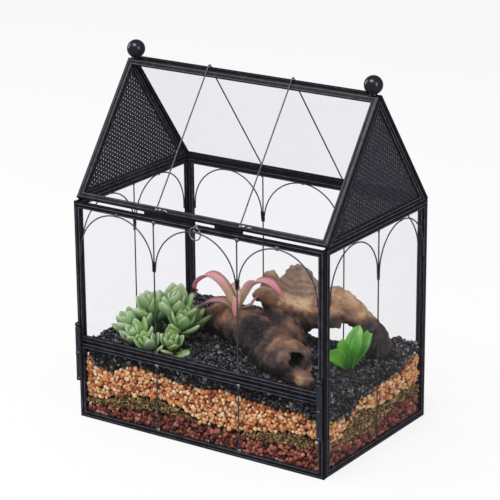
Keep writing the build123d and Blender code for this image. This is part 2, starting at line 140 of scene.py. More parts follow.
world = bpy.data.worlds.new("pale_room")
bpy.context.scene.world = world
world.use_nodes = True
room = world.node_tree
room.nodes.clear()
seen, mirrored = sight_rays(room)
direct = add_node(room, "Mix", {0: seen, 2: ROOM_LIGHT, 3: 1.0})
level = add_node(room, "Mix", {0: mirrored, 2: direct, 3: ROOM_REFLECTION})
sky = add_node(room, "Background", {"Color": (1, 1, 1, 1), "Strength": level})
add_node(room, "OutputWorld", {"Surface": sky})


def look_along(place, target):
    """Rotation that turns a lamp's own -Z from its place towards the target."""
    away = np.subtract(place, target)
    away = away / np.linalg.norm(away)
    side = np.cross((0, 0, 1), away)
    side = side / np.linalg.norm(side)
    return Matrix(np.array([side, np.cross(away, side), away]).T.tolist())


for name, place, size, power in BOXES:
    lamp = bpy.data.lights.new(name, "AREA")
    lamp.shape = "RECTANGLE"
    lamp.size, lamp.size_y = size
    lamp.energy = power
    box = bpy.data.objects.new(name, lamp)
    box.matrix_world = Matrix.Translation(place) @ look_along(place, AIM).to_4x4()
    bpy.context.scene.collection.objects.link(box)
bpy.context.scene.view_settings.view_transform = "Standard"

# Camera: a long lens, 34 degrees to the right of the door and 18 degrees above it.
# Its place and turn are those of the photograph.
AZIMUTH = np.radians(34.153)
ELEVATION = np.radians(18.474)
ROLL = np.radians(-0.468)
CAMERA_PLACE = (1.00349, -1.47833, 0.74936)
LENS = 159.84
SENSOR = 36.0

camera_data = bpy.data.cameras.new("camera")
camera_data.sensor_width = SENSOR
camera_data.lens = LENS
camera = bpy.data.objects.new("camera", camera_data)
turn = (Matrix.Rotation(AZIMUTH, 4, "Z") @ Matrix.Rotation(np.pi / 2 - ELEVATION, 4, "X")
        @ Matrix.Rotation(ROLL, 4, "Z"))
camera.matrix_world = Matrix.Translation(CAMERA_PLACE) @ turn
bpy.context.scene.collection.objects.link(camera)
bpy.context.scene.camera = camera

# Bars: half-round brass channel, mitred, soldered at the corners and patinated black.
# Each panel's bars are one closed ring; two thin grey lines along each crowned face are painted
# highlight. Noise scales here and below are per metre: 160 gives clouds of about 6 mm.
MM = 0.001
BAR_FACE = 5.6
BAR_CROWN = 0.25
BAR_WEB = 0.6
BAR_SLOT = 2.2
BAR_EDGE_ROUND = 0.35
BAR_STEP = 2.5
CORNER_SOLDER = 0.12
CORNER_REACH = 5.0
HAND_WAVE = 0.03
PATINA_BLACK = "#0b0b11"
PATINA_WORN = "#1c1c26"
# Grey of the painted highlight lines along the bars' faces
PAINTED_HIGHLIGHT_GREY = "#5f5f6c"
FACE_MIDDLE = 0.6
HIGHLIGHT_FROM_MIDDLE = 0.27


def node_box(name):
    """A CAD node's lowest and highest corners as arrays, in millimetres."""
    low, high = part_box(name)
    return np.array(low) / MM, np.array(high) / MM


door_low, door_high = node_box("door_frame")
lower_low, lower_high = node_box("lower_front_frame")
side_low, side_high = node_box("right_wall_frame")
back_low, back_high = node_box("back_wall_frame")
gable_low, gable_high = node_box("right_gable_frame")
floor_low, floor_high = node_box("floor_frame")
bar_depth = lower_high[1] - lower_low[1]
half_bar = bar_depth / 2
side_middle = (side_low[1] + side_high[1]) / 2
side_half = (side_high[1] - side_low[1]) / 2
gable_half = (gable_high[1] - gable_low[1]) / 2
apex = gable_high[2]
pitch = np.arctan2(apex - gable_low[2], gable_half)
half_width = lower_high[0]
inner_half = back_high[0]
front_slope = (side_half - bar_depth * np.sin(pitch)) / np.cos(pitch)
back_slope = gable_half / np.cos(pitch)


def rectangle(half, low, high):
    """Four corners of an upright panel, anticlockwise from its lower left."""
    return np.array([(-half, low), (half, low), (half, high), (-half, high)])


class Panel:
    """A flat panel: its middle plane's origin, its three directions and its outline."""

    def __init__(self, body, origin, right, up, outline):
        self.body = body
        self.origin = np.array(origin, float)
        self.right = np.array(right, float)
        self.up = np.array(up, float)
        self.out = np.cross(self.right, self.up)
        self.outline = np.array(outline, float)

    def place(self, across, height, proud):
        """World points: origin plus each coordinate times its own direction."""
        return (self.origin + np.asarray(across)[..., None] * self.right
                + np.asarray(height)[..., None] * self.up + np.asarray(proud)[..., None] * self.out)


slope_in = half_bar * np.sin(pitch)
slope_up = apex + half_bar * np.cos(pitch)
floor_middle = (floor_low[1] + floor_high[1]) / 2
floor_half = (floor_high[1] - floor_low[1]) / 2
panels = {
    "floor": Panel("case", (0, floor_middle, half_bar), (1, 0, 0), (0, 1, 0),
                   rectangle(inner_half, -floor_half, floor_half)),
    "lower_front": Panel("case", (0, lower_low[1] + half_bar, 0), (1, 0, 0), (0, 0, 1),
                         rectangle(half_width, 0, lower_high[2])),
    "left_wall": Panel("case", (half_bar - half_width, side_middle, 0), (0, -1, 0), (0, 0, 1),
                       rectangle(side_half, 0, side_high[2])),
    "right_wall": Panel("case", (half_width - half_bar, side_middle, 0), (0, 1, 0), (0, 0, 1),
                        rectangle(side_half, 0, side_high[2])),
    "back_wall": Panel("case", (0, back_high[1] - half_bar, 0), (-1, 0, 0), (0, 0, 1),
                       rectangle(inner_half, 0, back_high[2])),
    "left_gable": Panel("case", (half_bar - half_width, side_middle, 0), (0, -1, 0), (0, 0, 1),
                        [(-gable_half, side_high[2]), (gable_half, side_high[2]), (0, apex)]),
    "right_gable": Panel("case", (half_width - half_bar, side_middle, 0), (0, 1, 0), (0, 0, 1),
                         [(-gable_half, side_high[2]), (gable_half, side_high[2]), (0, apex)]),
    "front_roof": Panel("case", (0, side_middle - slope_in, slope_up), (1, 0, 0),
                        (0, np.cos(pitch), np.sin(pitch)), rectangle(half_width, -front_slope, 0)),
    "back_roof": Panel("case", (0, side_middle + slope_in, slope_up), (-1, 0, 0),
                       (0, -np.cos(pitch), np.sin(pitch)), rectangle(half_width, -back_slope, 0)),
    "door": Panel("front_door", (0, door_low[1] + half_bar, 0), (1, 0, 0), (0, 0, 1),
                  rectangle(half_width, door_low[2], door_high[2])),
}


def bar_profile():
    """Section of the channel: two shallow crowns, rounded web edges, and the slot."""
    edge = half_bar - BAR_CROWN
    share = np.linspace(0, 1, 9)
    crown = edge + BAR_CROWN * (1 - (2 * share - 1) ** 2)
    face_u = BAR_EDGE_ROUND + share * (BAR_FACE - BAR_EDGE_ROUND)
    turn = np.linspace(0, np.pi / 2, 4)[:-1]
    rounded_u = BAR_EDGE_ROUND * (1 - np.cos(turn))
    rounded_v = edge - BAR_EDGE_ROUND + BAR_EDGE_ROUND * np.sin(turn)
    slot = BAR_SLOT / 2
    inner_u = [BAR_FACE, BAR_WEB, BAR_WEB, BAR_FACE]
    inner_v = [slot, slot, -slot, -slot]
    u = np.concatenate([rounded_u, face_u, inner_u, face_u[::-1], rounded_u[::-1]])
    v = np.concatenate([rounded_v, crown, inner_v, -crown[::-1], -rounded_v[::-1]])
    return u, v


def ring_faces(rings, points, closed=False):
    """Quads between neighbouring rings of points; closed joins the last ring to the first."""
    ring, point = np.meshgrid(np.arange(rings if closed else rings - 1), np.arange(points),
                              indexing="ij")
    next_ring, next_point = (ring + 1) % rings, (point + 1) % points
    quads = np.stack([ring * points + point, ring * points + next_point,
                      next_ring * points + next_point, next_ring * points + point], axis=-1)
    return quads.reshape(-1, 4).tolist()


def capped(rings, points):
    """Quads between the rings of a tube, and a face over each of its ends."""
    last = (rings - 1) * points
    return ring_faces(rings, points) + [list(range(points))[::-1],
                                        list(range(last, last + points))]


def point_values(mesh, name, values):
    """Gives each point of a mesh one number for its material to read."""
    mesh.attributes.new(name, "FLOAT", "POINT").data.foreach_set(
        "value", np.asarray(values, np.float32).ravel())


def ride_along(name, mesh, material, body, nodes):
    """Makes a mesh an object that rides on a body, in place of the nodes that it stands for."""
    mesh.materials.append(material)
    piece = bpy.data.objects.new(name, mesh)
    bpy.context.scene.collection.objects.link(piece)
    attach(piece, body)
    if nodes:
        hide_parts(*nodes)


def add_piece(name, points, faces, material, body, slot, nodes=(), sharp=40, **values):
    """Puts points in millimetres and faces into a smooth mesh, with named values per point."""
    mesh = bpy.data.meshes.new(name)
    mesh.from_pydata((np.asarray(points).reshape(-1, 3) * MM).tolist(), [],
                     [list(face) for face in faces])
    mesh.polygons.foreach_set("use_smooth", np.ones(len(mesh.polygons), bool))
    mesh.set_sharp_from_angle(angle=np.radians(sharp))
    for kind, numbers in values.items():
        point_values(mesh, kind, numbers)
    ride_along(name, mesh, material, body, nodes)


def bar_ring(panel, seed):
    """Bars round an outline: each section point slides along the mitre lines from corner to corner,
    and swells a little at the soldered corners."""
    u, v = bar_profile()
    corners = panel.outline
    following = np.roll(corners, -1, axis=0)
    along = following - corners
    lengths = np.linalg.norm(along, axis=1)
    along = along / lengths[:, None]
    inwards = np.stack([-along[:, 1], along[:, 0]], axis=1)
    before = np.roll(inwards, 1, axis=0)
    mitre = (inwards + before) / (1 + np.sum(inwards * before, axis=1))[:, None]
    rng = np.random.default_rng(seed)
    rings = []
    for index in range(len(corners)):
        steps = int(lengths[index] / BAR_STEP)
        share = np.arange(steps) / steps
        start = corners[index] + u[:, None] * mitre[index]
        stop = following[index] + u[:, None] * mitre[(index + 1) % len(corners)]
        flat = start + share[:, None, None] * (stop - start)
        near = np.minimum(share, 1 - share) * lengths[index]
        wave = sum(np.sin(share * lengths[index] / reach + rng.uniform(0, 6.3))
                   for reach in (3.1, 5.7, 11.0)) / 3
        swell = CORNER_SOLDER * np.exp(-(near / CORNER_REACH) ** 2) + HAND_WAVE * wave
        crest = np.clip(np.sin(np.clip(u / BAR_FACE, 0, 1) * np.pi), 0, 1)
        outer = np.abs(v) > BAR_SLOT / 2 + 0.01
        proud = v + np.sign(v) * outer * crest * swell[:, None]
        rings.append(panel.place(flat[..., 0], flat[..., 1], proud))
    points = np.concatenate(rings)
    faces = ring_faces(len(points), len(u), closed=True)
    return points, faces, np.tile(u / BAR_FACE, len(points))


def black_patina():
    """Patinated solder on brass: near black and half gloss, with two thin lines of painted grey
    highlight along the face, and with cloudy patches and fine pits left by the iron."""
    material, tree, place = start_material("black_patina")
    cloud = add_node(tree, "TexNoise", {"Vector": place, "Scale": 160.0, "Detail": 4.0,
                                        "Roughness": 0.6})
    pits = add_node(tree, "TexNoise", {"Vector": place, "Scale": 1400.0, "Detail": 3.0})
    patch = add_node(tree, "MapRange", {"Value": cloud, 1: 0.45, 2: 0.7})
    ground = add_node(tree, "Mix", {0: patch, 6: linear(PATINA_BLACK), 7: linear(PATINA_WORN)},
                      data_type="RGBA")
    face = add_node(tree, "Attribute", attribute_name="across")
    from_crest = add_node(tree, "Math", {0: face.outputs["Fac"], 1: FACE_MIDDLE},
                          operation="SUBTRACT")
    mirrored = add_node(tree, "Math", {0: from_crest}, operation="ABSOLUTE")
    from_highlight_line = add_node(tree, "Math", {0: mirrored, 1: HIGHLIGHT_FROM_MIDDLE}, operation="SUBTRACT")
    apart = add_node(tree, "Math", {0: from_highlight_line}, operation="ABSOLUTE")
    # Two thin grey lines along each face: painted highlight, where a crowned face would catch the
    # lamps
    line = add_node(tree, "MapRange", {"Value": apart, 1: 0.08, 2: 0.03, 3: 0.0, 4: 1.0})
    broken = add_node(tree, "MapRange", {"Value": cloud, 1: 0.3, 2: 0.62, 3: 0.3, 4: 0.95})
    painted_highlight = add_node(tree, "Math", {0: line, 1: broken}, operation="MULTIPLY")
    colour = add_node(tree, "Mix", {0: painted_highlight, 6: ground, 7: linear(PAINTED_HIGHLIGHT_GREY)}, data_type="RGBA")
    rough = add_node(tree, "MapRange", {"Value": pits, 1: 0.3, 2: 0.7, 3: 0.34, 4: 0.52})
    relief = add_node(tree, "Bump", {"Height": pits, "Strength": 0.12, "Distance": 0.0002})
    skin = add_node(tree, "BsdfPrincipled", {"Base Color": colour, "Roughness": rough,
                                             "Normal": relief, "Specular IOR Level": 0.4})
    return finished(material, skin)


bar_black = black_patina()
for number, (name, panel) in enumerate(panels.items()):
    points, faces, across = bar_ring(panel, number)
    add_piece(name + "_bars", points, faces, bar_black, panel.body, "black_patina_metal",
              [name + "_frame"], across=across)

# Panes: float glass 2 mm thick, cut to slide into the slots of the bars.
# It is clear with a faint cool grey, and carries a few dust marks.
PANE_TINT = "#fefeff"
PANE_DUST = "#fbfbfd"
PANE_INDEX = 1.25


def float_glass():
    """Clear float glass: smooth, with shadows that let the light through. Real glass has index
    1.5; a lower one keeps the photo's thin reflections under this even light."""
    material, tree, place = start_material("float_glass")
    dust = add_node(tree, "TexNoise", {"Vector": place, "Scale": 90.0, "Detail": 5.0})
    film = add_node(tree, "Mix", {0: dust, 6: linear(PANE_TINT), 7: linear(PANE_DUST)},
                    data_type="RGBA")
    pane = add_node(tree, "BsdfPrincipled", {"Base Color": film, "Roughness": 0.0,
                                             "IOR": PANE_INDEX, "Transmission Weight": 1.0})
    clear = add_node(tree, "BsdfTransparent", {"Color": linear(PANE_TINT)})
    rays = add_node(tree, "LightPath")
    share = add_node(tree, "Math", {0: rays.outputs["Is Shadow Ray"],
                                    1: rays.outputs["Is Diffuse Ray"]}, operation="MAXIMUM")
    mix = add_node(tree, "MixShader", {0: share, 1: pane, 2: clear})
    return finished(material, mix)


glass = float_glass()
for name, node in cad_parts.items():
    if name.endswith("_glass"):
        node.data.materials.clear()
        node.data.materials.append(glass)

# Wires: drawn steel on the outside of the glass, with round-headed arches between the bars.
# A solder sleeve gathers each upright and its arches' feet, and beads hold them to the rails.
WIRE_RADIUS = 0.6
WIRE_LEVEL = 1.6
ARCH_LEG = 1.3
SLEEVE_HALF = 2.3
SLEEVE_FOOT_HALF = 1.3
SLEEVE_THICK = 1.5
FRONT_SLEEVE = 9.0
SIDE_SLEEVE = 14.0
WIRE_SIDES = 10
WIRE_STEEL = "#6a6d74"
WIRE_SHADE = "#393a40"
SOLDER_SILVER = "#d3d4d8"

third = half_width / 3
rail_low = BAR_FACE
rail_high = side_high[2] - BAR_FACE
arch_foot = rail_high - WIRE_RADIUS - (third - 2 * WIRE_RADIUS) - ARCH_LEG


def tube(path, radius, sides=WIRE_SIDES, squash=1.0):
    """Tube along a path: rings square to it, turned as little as possible from one to the next."""
    path = np.asarray(path, float)
    radius = np.broadcast_to(radius, len(path))
    tangent = np.gradient(path, axis=0)
    tangent /= np.linalg.norm(tangent, axis=1)[:, None]
    normal = np.cross(tangent[0], (0.31, 0.86, 0.41))
    rings = []
    turn = np.arange(sides) * 2 * np.pi / sides
    for place, along, thick in zip(path, tangent, radius):
        normal = normal - along * normal.dot(along)
        normal /= np.linalg.norm(normal)
        side = np.cross(along, normal)
        rings.append(place + thick * (np.cos(turn)[:, None] * normal
                                      + squash * np.sin(turn)[:, None] * side))
    return np.concatenate(rings), capped(len(path), sides)


def joined(shapes):
    """Several (points, faces) shapes as one, with the faces renumbered."""
    points, faces, start = [], [], 0
    for shape_points, shape_faces in shapes:
        points.append(np.asarray(shape_points))
        faces += [[index + start for index in face] for face in shape_faces]
        start += len(shape_points)
    return np.concatenate(points), faces


def lathe(profile, sides=24):
    """Closed body turned about local Z, from radius and height pairs; zero radii close it."""
    profile = np.asarray(profile, float)
    turn = np.arange(sides) * 2 * np.pi / sides
    inner = [pair for pair in profile if pair[0] > 1e-6]
    points = [(radius * np.cos(angle), radius * np.sin(angle), height)
              for radius, height in inner for angle in turn]
    faces = ring_faces(len(inner), sides)
    low, high = len(points), len(points) + 1
    points += [(0, 0, profile[0][1]), (0, 0, profile[-1][1])]
    top = (len(inner) - 1) * sides
    for point in range(sides):
        after = (point + 1) % sides
        faces.append([low, after, point])
        faces.append([high, top + point, top + after])
    return np.array(points), faces


def bead(place, radius, height, seed=0, sides=10):
    """Solder bead: a low dome, a little lopsided, that stands on a face looking along +Z."""
    rng = np.random.default_rng(seed)
    angle = np.linspace(0, np.pi / 2, 5)
    dome = [(radius * np.cos(a), height * np.sin(a)) for a in angle[:-1]]
    pairs = [(0, 0), *dome, (0, height)]
    points, faces = lathe(pairs, sides)
    around = np.arctan2(points[:, 1], points[:, 0])
    swell = 1 + 0.14 * np.sin(around * 2 + rng.uniform(0, 6)) + 0.08 * np.sin(around * 3)
    points[:, :2] *= swell[:, None]
    return points + np.array(place), faces


def arch_path(left, right, top, foot):
    """Points up the left leg, round the head and down the right leg."""
    radius = (right - left) / 2
    middle = (left + right) / 2
    spring = top - WIRE_RADIUS - radius
    turn = np.linspace(np.pi, 0, 37)
    head = np.stack([middle + radius * np.cos(turn), spring + radius * np.sin(turn)], axis=1)
    return np.vstack([[left, foot], [left, (foot + spring) / 2], head,
                      [right, (foot + spring) / 2], [right, foot]])


def sleeve(x, height):
    """Solder sleeve: a rounded tongue on the glass, wide at the top and narrow at the bottom."""
    share = np.linspace(0, 1, 9)
    half = SLEEVE_FOOT_HALF + (SLEEVE_HALF - SLEEVE_FOOT_HALF) * share ** 0.8
    turn = np.linspace(0, np.pi, 9)
    rings = []
    for part, wide in zip(share, half):
        closing = np.sqrt(max(0.0, 1 - abs(2 * part - 1) ** 6))
        across = x + wide * np.cos(turn)
        proud = 1.0 + SLEEVE_THICK * (0.25 + 0.75 * closing) * np.sin(turn) ** 0.7
        rings.append(np.stack([across, np.full(9, arch_foot + part * height), proud], axis=1))
    return np.concatenate(rings), [face[::-1] for face in capped(9, 9)]


def on_panel(panel, shape):
    """A shape in a panel's own coordinates (across, up, out) put in its place in the world."""
    points, faces = shape
    points = np.asarray(points)
    return panel.place(points[:, 0], points[:, 1], points[:, 2]), faces


def flat_tube(path):
    """A wire of the drawn radius through (across, up) points at the wires' level."""
    path = np.asarray(path, float)
    level = np.full(len(path), WIRE_LEVEL)
    return tube(np.column_stack([path, level]), WIRE_RADIUS)


def arched(panel, half, uprights, low, sleeve_height, seed):
    """All wires of one panel, and apart from them the beads of bare solder."""
    side = half - BAR_FACE - WIRE_RADIUS
    legs = [-side, *uprights, side]
    wires = [flat_tube([(x, z) for z in np.linspace(low, rail_high, 9)]) for x in uprights]
    for index in range(len(legs) - 1):
        left = legs[index] + (2 * WIRE_RADIUS if index else 0)
        right = legs[index + 1] - (2 * WIRE_RADIUS if index < len(uprights) else 0)
        wires.append(flat_tube(arch_path(left, right, rail_high, arch_foot)))
    sleeves = [sleeve(x, sleeve_height) for x in uprights]
    beads = []
    rng = np.random.default_rng(seed)
    middles = [(legs[i] + legs[i + 1]) / 2 for i in range(len(legs) - 1)]
    for x in [*middles, *uprights]:
        beads.append(bead((x + rng.uniform(-0.5, 0.5), rail_high + 0.1, 1.1),
                          rng.uniform(1.5, 2.1), 1.1, seed + int(x) + 200))
    for x in uprights:
        beads.append(bead((x, low + 0.1, 1.1), rng.uniform(0.9, 1.3), 1.0, seed + int(x) + 400))
    return [on_panel(panel, shape) for shape in wires], \
        [on_panel(panel, shape) for shape in sleeves], [on_panel(panel, shape) for shape in beads]


def drawn_steel():
    """Drawn steel wire, grey and slightly tarnished, with darker stretches."""
    material, tree, place = start_material("drawn_steel")
    cloud = add_node(tree, "TexNoise", {"Vector": place, "Scale": 120.0, "Detail": 3.0})
    colour = add_node(tree, "Mix", {0: cloud, 6: linear(WIRE_SHADE), 7: linear(WIRE_STEEL)},
                      data_type="RGBA")
    rough = add_node(tree, "MapRange", {"Value": cloud, 3: 0.3, 4: 0.5})
    skin = add_node(tree, "BsdfPrincipled", {"Base Color": colour, "Roughness": rough,
                                             "Metallic": 0.55})
    return finished(material, skin)


def bare_solder():
    """Tin solder left bright: silver grey, dulled in patches, with a rippled skin."""
    material, tree, place = start_material("bare_solder")
    cloud = add_node(tree, "TexNoise", {"Vector": place, "Scale": 500.0, "Detail": 3.0})
    colour = add_node(tree, "Mix", {0: cloud, 6: linear(WIRE_STEEL), 7: linear(SOLDER_SILVER)},
                      data_type="RGBA")
    relief = add_node(tree, "Bump", {"Height": cloud, "Strength": 0.3, "Distance": 0.0003})
    skin = add_node(tree, "BsdfPrincipled", {"Base Color": colour, "Roughness": 0.32,
                                             "Metallic": 0.9, "Normal": relief})
    return finished(material, skin)


steel = drawn_steel()
silver = bare_solder()
wired = {
    "door": (half_width, (-third, third), door_low[2] + BAR_FACE, FRONT_SLEEVE),
    "back_wall": (inner_half, (-third, third), BAR_FACE, FRONT_SLEEVE),
    "left_wall": (side_half, (0.0,), BAR_FACE, SIDE_SLEEVE),
    "right_wall": (side_half, (0.0,), BAR_FACE, SIDE_SLEEVE),
}
for number, (name, (half, uprights, low, height)) in enumerate(wired.items()):
    wires, sleeves, beads = arched(panels[name], half, uprights, low, height, 20 * number)
    body = panels[name].body
    add_piece(name + "_arch_wires", *joined(wires), steel, body, "dark_wire", [name + "_wires"])
    add_piece(name + "_sleeves", *joined(sleeves), bar_black, body, "black_patina_metal")
    add_piece(name + "_solder_beads", *joined(beads), silver if name == "door" else steel, body,
              "dark_wire")

lower = panels["lower_front"]
lower_wires = [flat_tube([(x, z) for z in np.linspace(rail_low, lower_high[2] - BAR_FACE, 7)])
               for x in (-third, third)]
add_piece("lower_front_upright_wires", *joined([on_panel(lower, wire) for wire in lower_wires]),
          steel, "case", "dark_wire", ["lower_front_wires"])
bright = [bead((x, z, 1.2), 1.9, 1.3, int(x + z) + 200) for x in (-third, third)
          for z in (rail_low + 0.2, lower_high[2] - BAR_FACE - 0.2)]
add_piece("lower_front_solder", *joined([on_panel(lower, shape) for shape in bright]), silver,
          "case", "dark_wire")

# Roof wires: each runs up the front slope, over the ridge rod and down the back slope.
# The front foot is bent to the right and soldered along the bar.
ROOF_LIE = 0.6
ROOF_FOOT = 10.0
ROOF_BEND = 2.2


def rounded_path(corners, radius, steps=6):
    """Path through corners, each inner one rounded by a curve between its two tangent points."""
    corners = np.asarray(corners, float)
    path = [corners[0]]
    for before, corner, after in zip(corners, corners[1:], corners[2:]):
        way_in = (before - corner) / np.linalg.norm(before - corner)
        way_out = (after - corner) / np.linalg.norm(after - corner)
        angle = np.arccos(way_in.dot(way_out))
        cut = radius / np.tan(angle / 2)
        for share in np.linspace(0, 1, steps):
            start = corner + way_in * cut
            end = corner + way_out * cut
            path.append((1 - share) ** 2 * start + 2 * share * (1 - share) * corner
                        + share ** 2 * end)
    return np.array(path + [corners[-1]])


def roof_wire(x):
    """Path of one roof wire in the world, from its bent foot to the back eave."""
    lie = half_bar + ROOF_LIE
    front, rear = panels["front_roof"], panels["back_roof"]
    top = apex + (bar_depth + WIRE_RADIUS) / np.cos(pitch)
    height = BAR_FACE / 2 - front_slope
    return rounded_path([
        front.place(np.array(x + ROOF_FOOT), np.array(height), np.array(lie)),
        front.place(np.array(x), np.array(height), np.array(lie)),
        (x, side_middle, top),
        rear.place(np.array(-x), np.array(BAR_FACE / 2 - back_slope), np.array(lie)),
    ], ROOF_BEND)


add_piece("roof_wire_pair", *joined([tube(roof_wire(x), WIRE_RADIUS) for x in (-third, third)]),
          steel, "case", "dark_wire", ["roof_wires"])
feet = []
for x in (-third, third):
    for along, radius in ((2.2, 1.9), (ROOF_FOOT - 1.5, 1.4)):
        points, faces = bead((0, 0, 0), radius, 1.4, int(x + along) + 300)
        points = points * (2.0, 1.0, 1.0) + (x + along, BAR_FACE / 2 - front_slope, half_bar)
        feet.append((panels["front_roof"].place(*points.T), faces))
add_piece("roof_wire_solder", *joined(feet), silver, "case", "dark_wire")

# Vent sheets: punched black steel in the gables, holes in rows staggered by half a pitch.
# One sheet per gable, joined edge to edge from cells; its cut edge lies hidden under the bars.
VENT_PITCH = 3.8
VENT_HOLE = 0.74
VENT_THICK = 0.7
VENT_RIM = 0.03
VENT_COVER = 2.2
VENT_COLUMN = VENT_PITCH * 3 ** 0.5 / 2


def vent_cell():
    """One six-sided cell with a round hole through it, its rims broken by a tiny chamfer; also
    tells which points lie on the hole's wall."""
    corner, quarter = VENT_PITCH / 3 ** 0.5, VENT_PITCH / 4
    slant = (corner + corner / 2) / 2
    upper = [(corner, 0), (slant, quarter), (corner / 2, 2 * quarter), (0, 2 * quarter),
             (-corner / 2, 2 * quarter), (-slant, quarter)]
    hexagon = np.array(upper + [(-x, -y) for x, y in upper])
    turn = np.arange(12) * 2 * np.pi / 12
    circle = np.column_stack([np.cos(turn), np.sin(turn)])
    half = VENT_THICK / 2
    rings = [(hexagon, half), (circle * (VENT_HOLE + VENT_RIM), half),
             (circle * VENT_HOLE, half - VENT_RIM), (circle * VENT_HOLE, VENT_RIM - half),
             (circle * (VENT_HOLE + VENT_RIM), -half), (hexagon, -half)]
    points = np.concatenate([np.column_stack([flat, np.full(12, level)])
                             for flat, level in rings])
    return points, np.array(ring_faces(6, 12)), np.repeat([0.0, 0.0, 1.0, 1.0, 0.0, 0.0], 12)


def vent_sheet(panel):
    """Cells over the gable's triangle, welded where they meet, with a wall along the cut edge."""
    base, faces, wall = vent_cell()
    low = panel.outline[0][1] + VENT_COVER
    columns = int(gable_half / VENT_COLUMN) + 1
    places = [(column * VENT_COLUMN, low + (row + 0.5 * (column % 2)) * VENT_PITCH, 0)
              for column in range(-columns, columns + 1) for row in range(40)]
    places = [place for place in places
              if ((apex - place[1]) - abs(place[0]) * np.tan(pitch)) * np.cos(pitch)
              > VENT_COVER + VENT_COLUMN / 2]
    points = (base[None] + np.array(places)[:, None]).reshape(-1, 3)
    every = (faces[None] + np.arange(len(places))[:, None, None] * len(base)).reshape(-1, 4)
    ticks = np.round(points * 1000 + 0.237).astype(int)
    ticks, first, welded = np.unique(ticks, axis=0, return_index=True, return_inverse=True)
    points, wall = points[first], np.tile(wall, len(places))[first]
    every = welded.ravel()[every].tolist()
    edges = {(face[i], face[i - 3]) for face in every for i in range(4)}
    under = {tuple(spot[:2]): number for number, spot in enumerate(ticks.tolist()) if spot[2] < 0}
    for a, b in sorted(edges):
        if (b, a) not in edges and ticks[a][2] > 0:
            below = [under[tuple(ticks[end][:2].tolist())] for end in (a, b)]
            every.append([b, a, below[0], below[1]])
    points, every = on_panel(panel, (points, every))
    return points, every, wall


def black_vent_steel():
    """Satin black coated steel, faintly dusty; the walls of its holes are painted near black and
    dull, as painted shade inside the holes.
    """
    material, tree, place = start_material("black_vent_steel")
    cloud = add_node(tree, "TexNoise", {"Vector": place, "Scale": 220.0, "Detail": 3.0})
    colour = add_node(tree, "Mix", {0: cloud, 6: linear("#21212b"), 7: linear("#383845")},
                      data_type="RGBA")
    rough = add_node(tree, "MapRange", {"Value": cloud, 3: 0.34, 4: 0.5})
    across = add_node(tree, "Attribute", attribute_name="across")
    # Hole walls get near black and little specular: painted shade inside the holes
    cut = add_node(tree, "Mix", {0: across.outputs["Fac"], 6: colour, 7: linear("#050507")},
                   data_type="RGBA")
    shine = add_node(tree, "MapRange", {"Value": across.outputs["Fac"], 3: 0.5, 4: 0.05})
    skin = add_node(tree, "BsdfPrincipled", {"Base Color": cut, "Roughness": rough,
                                             "Specular IOR Level": shine})
    return finished(material, skin)


vent_black = black_vent_steel()
for name in ("left_gable", "right_gable"):
    sheet_points, sheet_faces, sheet_walls = vent_sheet(panels[name])
    add_piece(name + "_vent", sheet_points, sheet_faces, vent_black, "case", "black_vent_sheet",
              [name + "_mesh"], across=sheet_walls)

# Ridge: a rod in the groove between the roof bars, with the bars' painted grey highlight line along
# it.
# A black lacquered ball on a short neck stands at each end.
BALL_RADIUS = 7.85
NECK_RADIUS = 2.8
NECK_FLARE = 0.7

rod_low, rod_high = node_box("ridge_rod")
rod_radius = (rod_high[2] - rod_low[2]) / 2
rod_path = [(x, side_middle, rod_high[2] - rod_radius) for x in
            np.linspace(rod_low[0], rod_high[0], 60)]
rod_points, rod_faces = tube(rod_path, rod_radius, 16)
# The across value puts the bars' painted highlight line on the rod
rod_across = 0.5 + 0.5 * (1 - (rod_points[:, 2] - rod_low[2]) / (2 * rod_radius))
add_piece("ridge_rod_body", rod_points, rod_faces, bar_black, "case", "black_patina_metal",
          ["ridge_rod"], across=rod_across)


def gloss_black():
    """Gloss black lacquer with a soft clear coat, a little uneven, and dust in places."""
    material, tree, place = start_material("gloss_black")
    cloud = add_node(tree, "TexNoise", {"Vector": place, "Scale": 300.0, "Detail": 4.0})
    colour = add_node(tree, "Mix", {0: cloud, 6: linear("#1b1b24"), 7: linear("#31313e")},
                      data_type="RGBA")
    rough = add_node(tree, "MapRange", {"Value": cloud, 3: 0.22, 4: 0.4})
    skin = add_node(tree, "BsdfPrincipled", {"Base Color": colour, "Roughness": rough,
                                             "Metallic": 0.35, "Coat Weight": 0.5,
                                             "Coat Roughness": 0.12})
    return finished(material, skin)


def finial(name):
    """Ball on its neck: the neck flares into the roof bars and necks in under the ball."""
    low, high = node_box(name)
    centre = high[2] - BALL_RADIUS
    start = -np.arccos(NECK_RADIUS / BALL_RADIUS)
    profile = [(0, low[2]), (NECK_RADIUS + NECK_FLARE, low[2]), (NECK_RADIUS + 0.2, low[2] + 1.0),
               (NECK_RADIUS - 0.2, centre + BALL_RADIUS * np.sin(start) - 0.3)]
    for angle in np.linspace(start, np.pi / 2, 25):
        profile.append((BALL_RADIUS * np.cos(angle) if angle < 1.57 else 0,
                        centre + BALL_RADIUS * np.sin(angle)))
    points, faces = lathe(profile, 48)
    return points + np.array([(low[0] + high[0]) / 2, (low[1] + high[1]) / 2, 0]), faces


gloss = gloss_black()
for name in ("left_finial", "right_finial"):
    add_piece(name + "_ball", *finial(name), gloss, "case", "black_gloss_metal", [name])

# Barrel hinges: a fixed lower tube with a ring at its mouth, an upper tube on the door's stile,
# and a headed pin through both, each tube held by a thin leaf soldered to the bar.
BARREL_BORE = 1.3
BARREL_FLOOR = 1.5
MOUTH_RING = 4.0
FOOT_RING = 3.0
LEAF_REACH = 3.6
LEAF_PROUD = 0.8
LEAF_SUNK = 0.1
LEAF_SHORT = 0.3


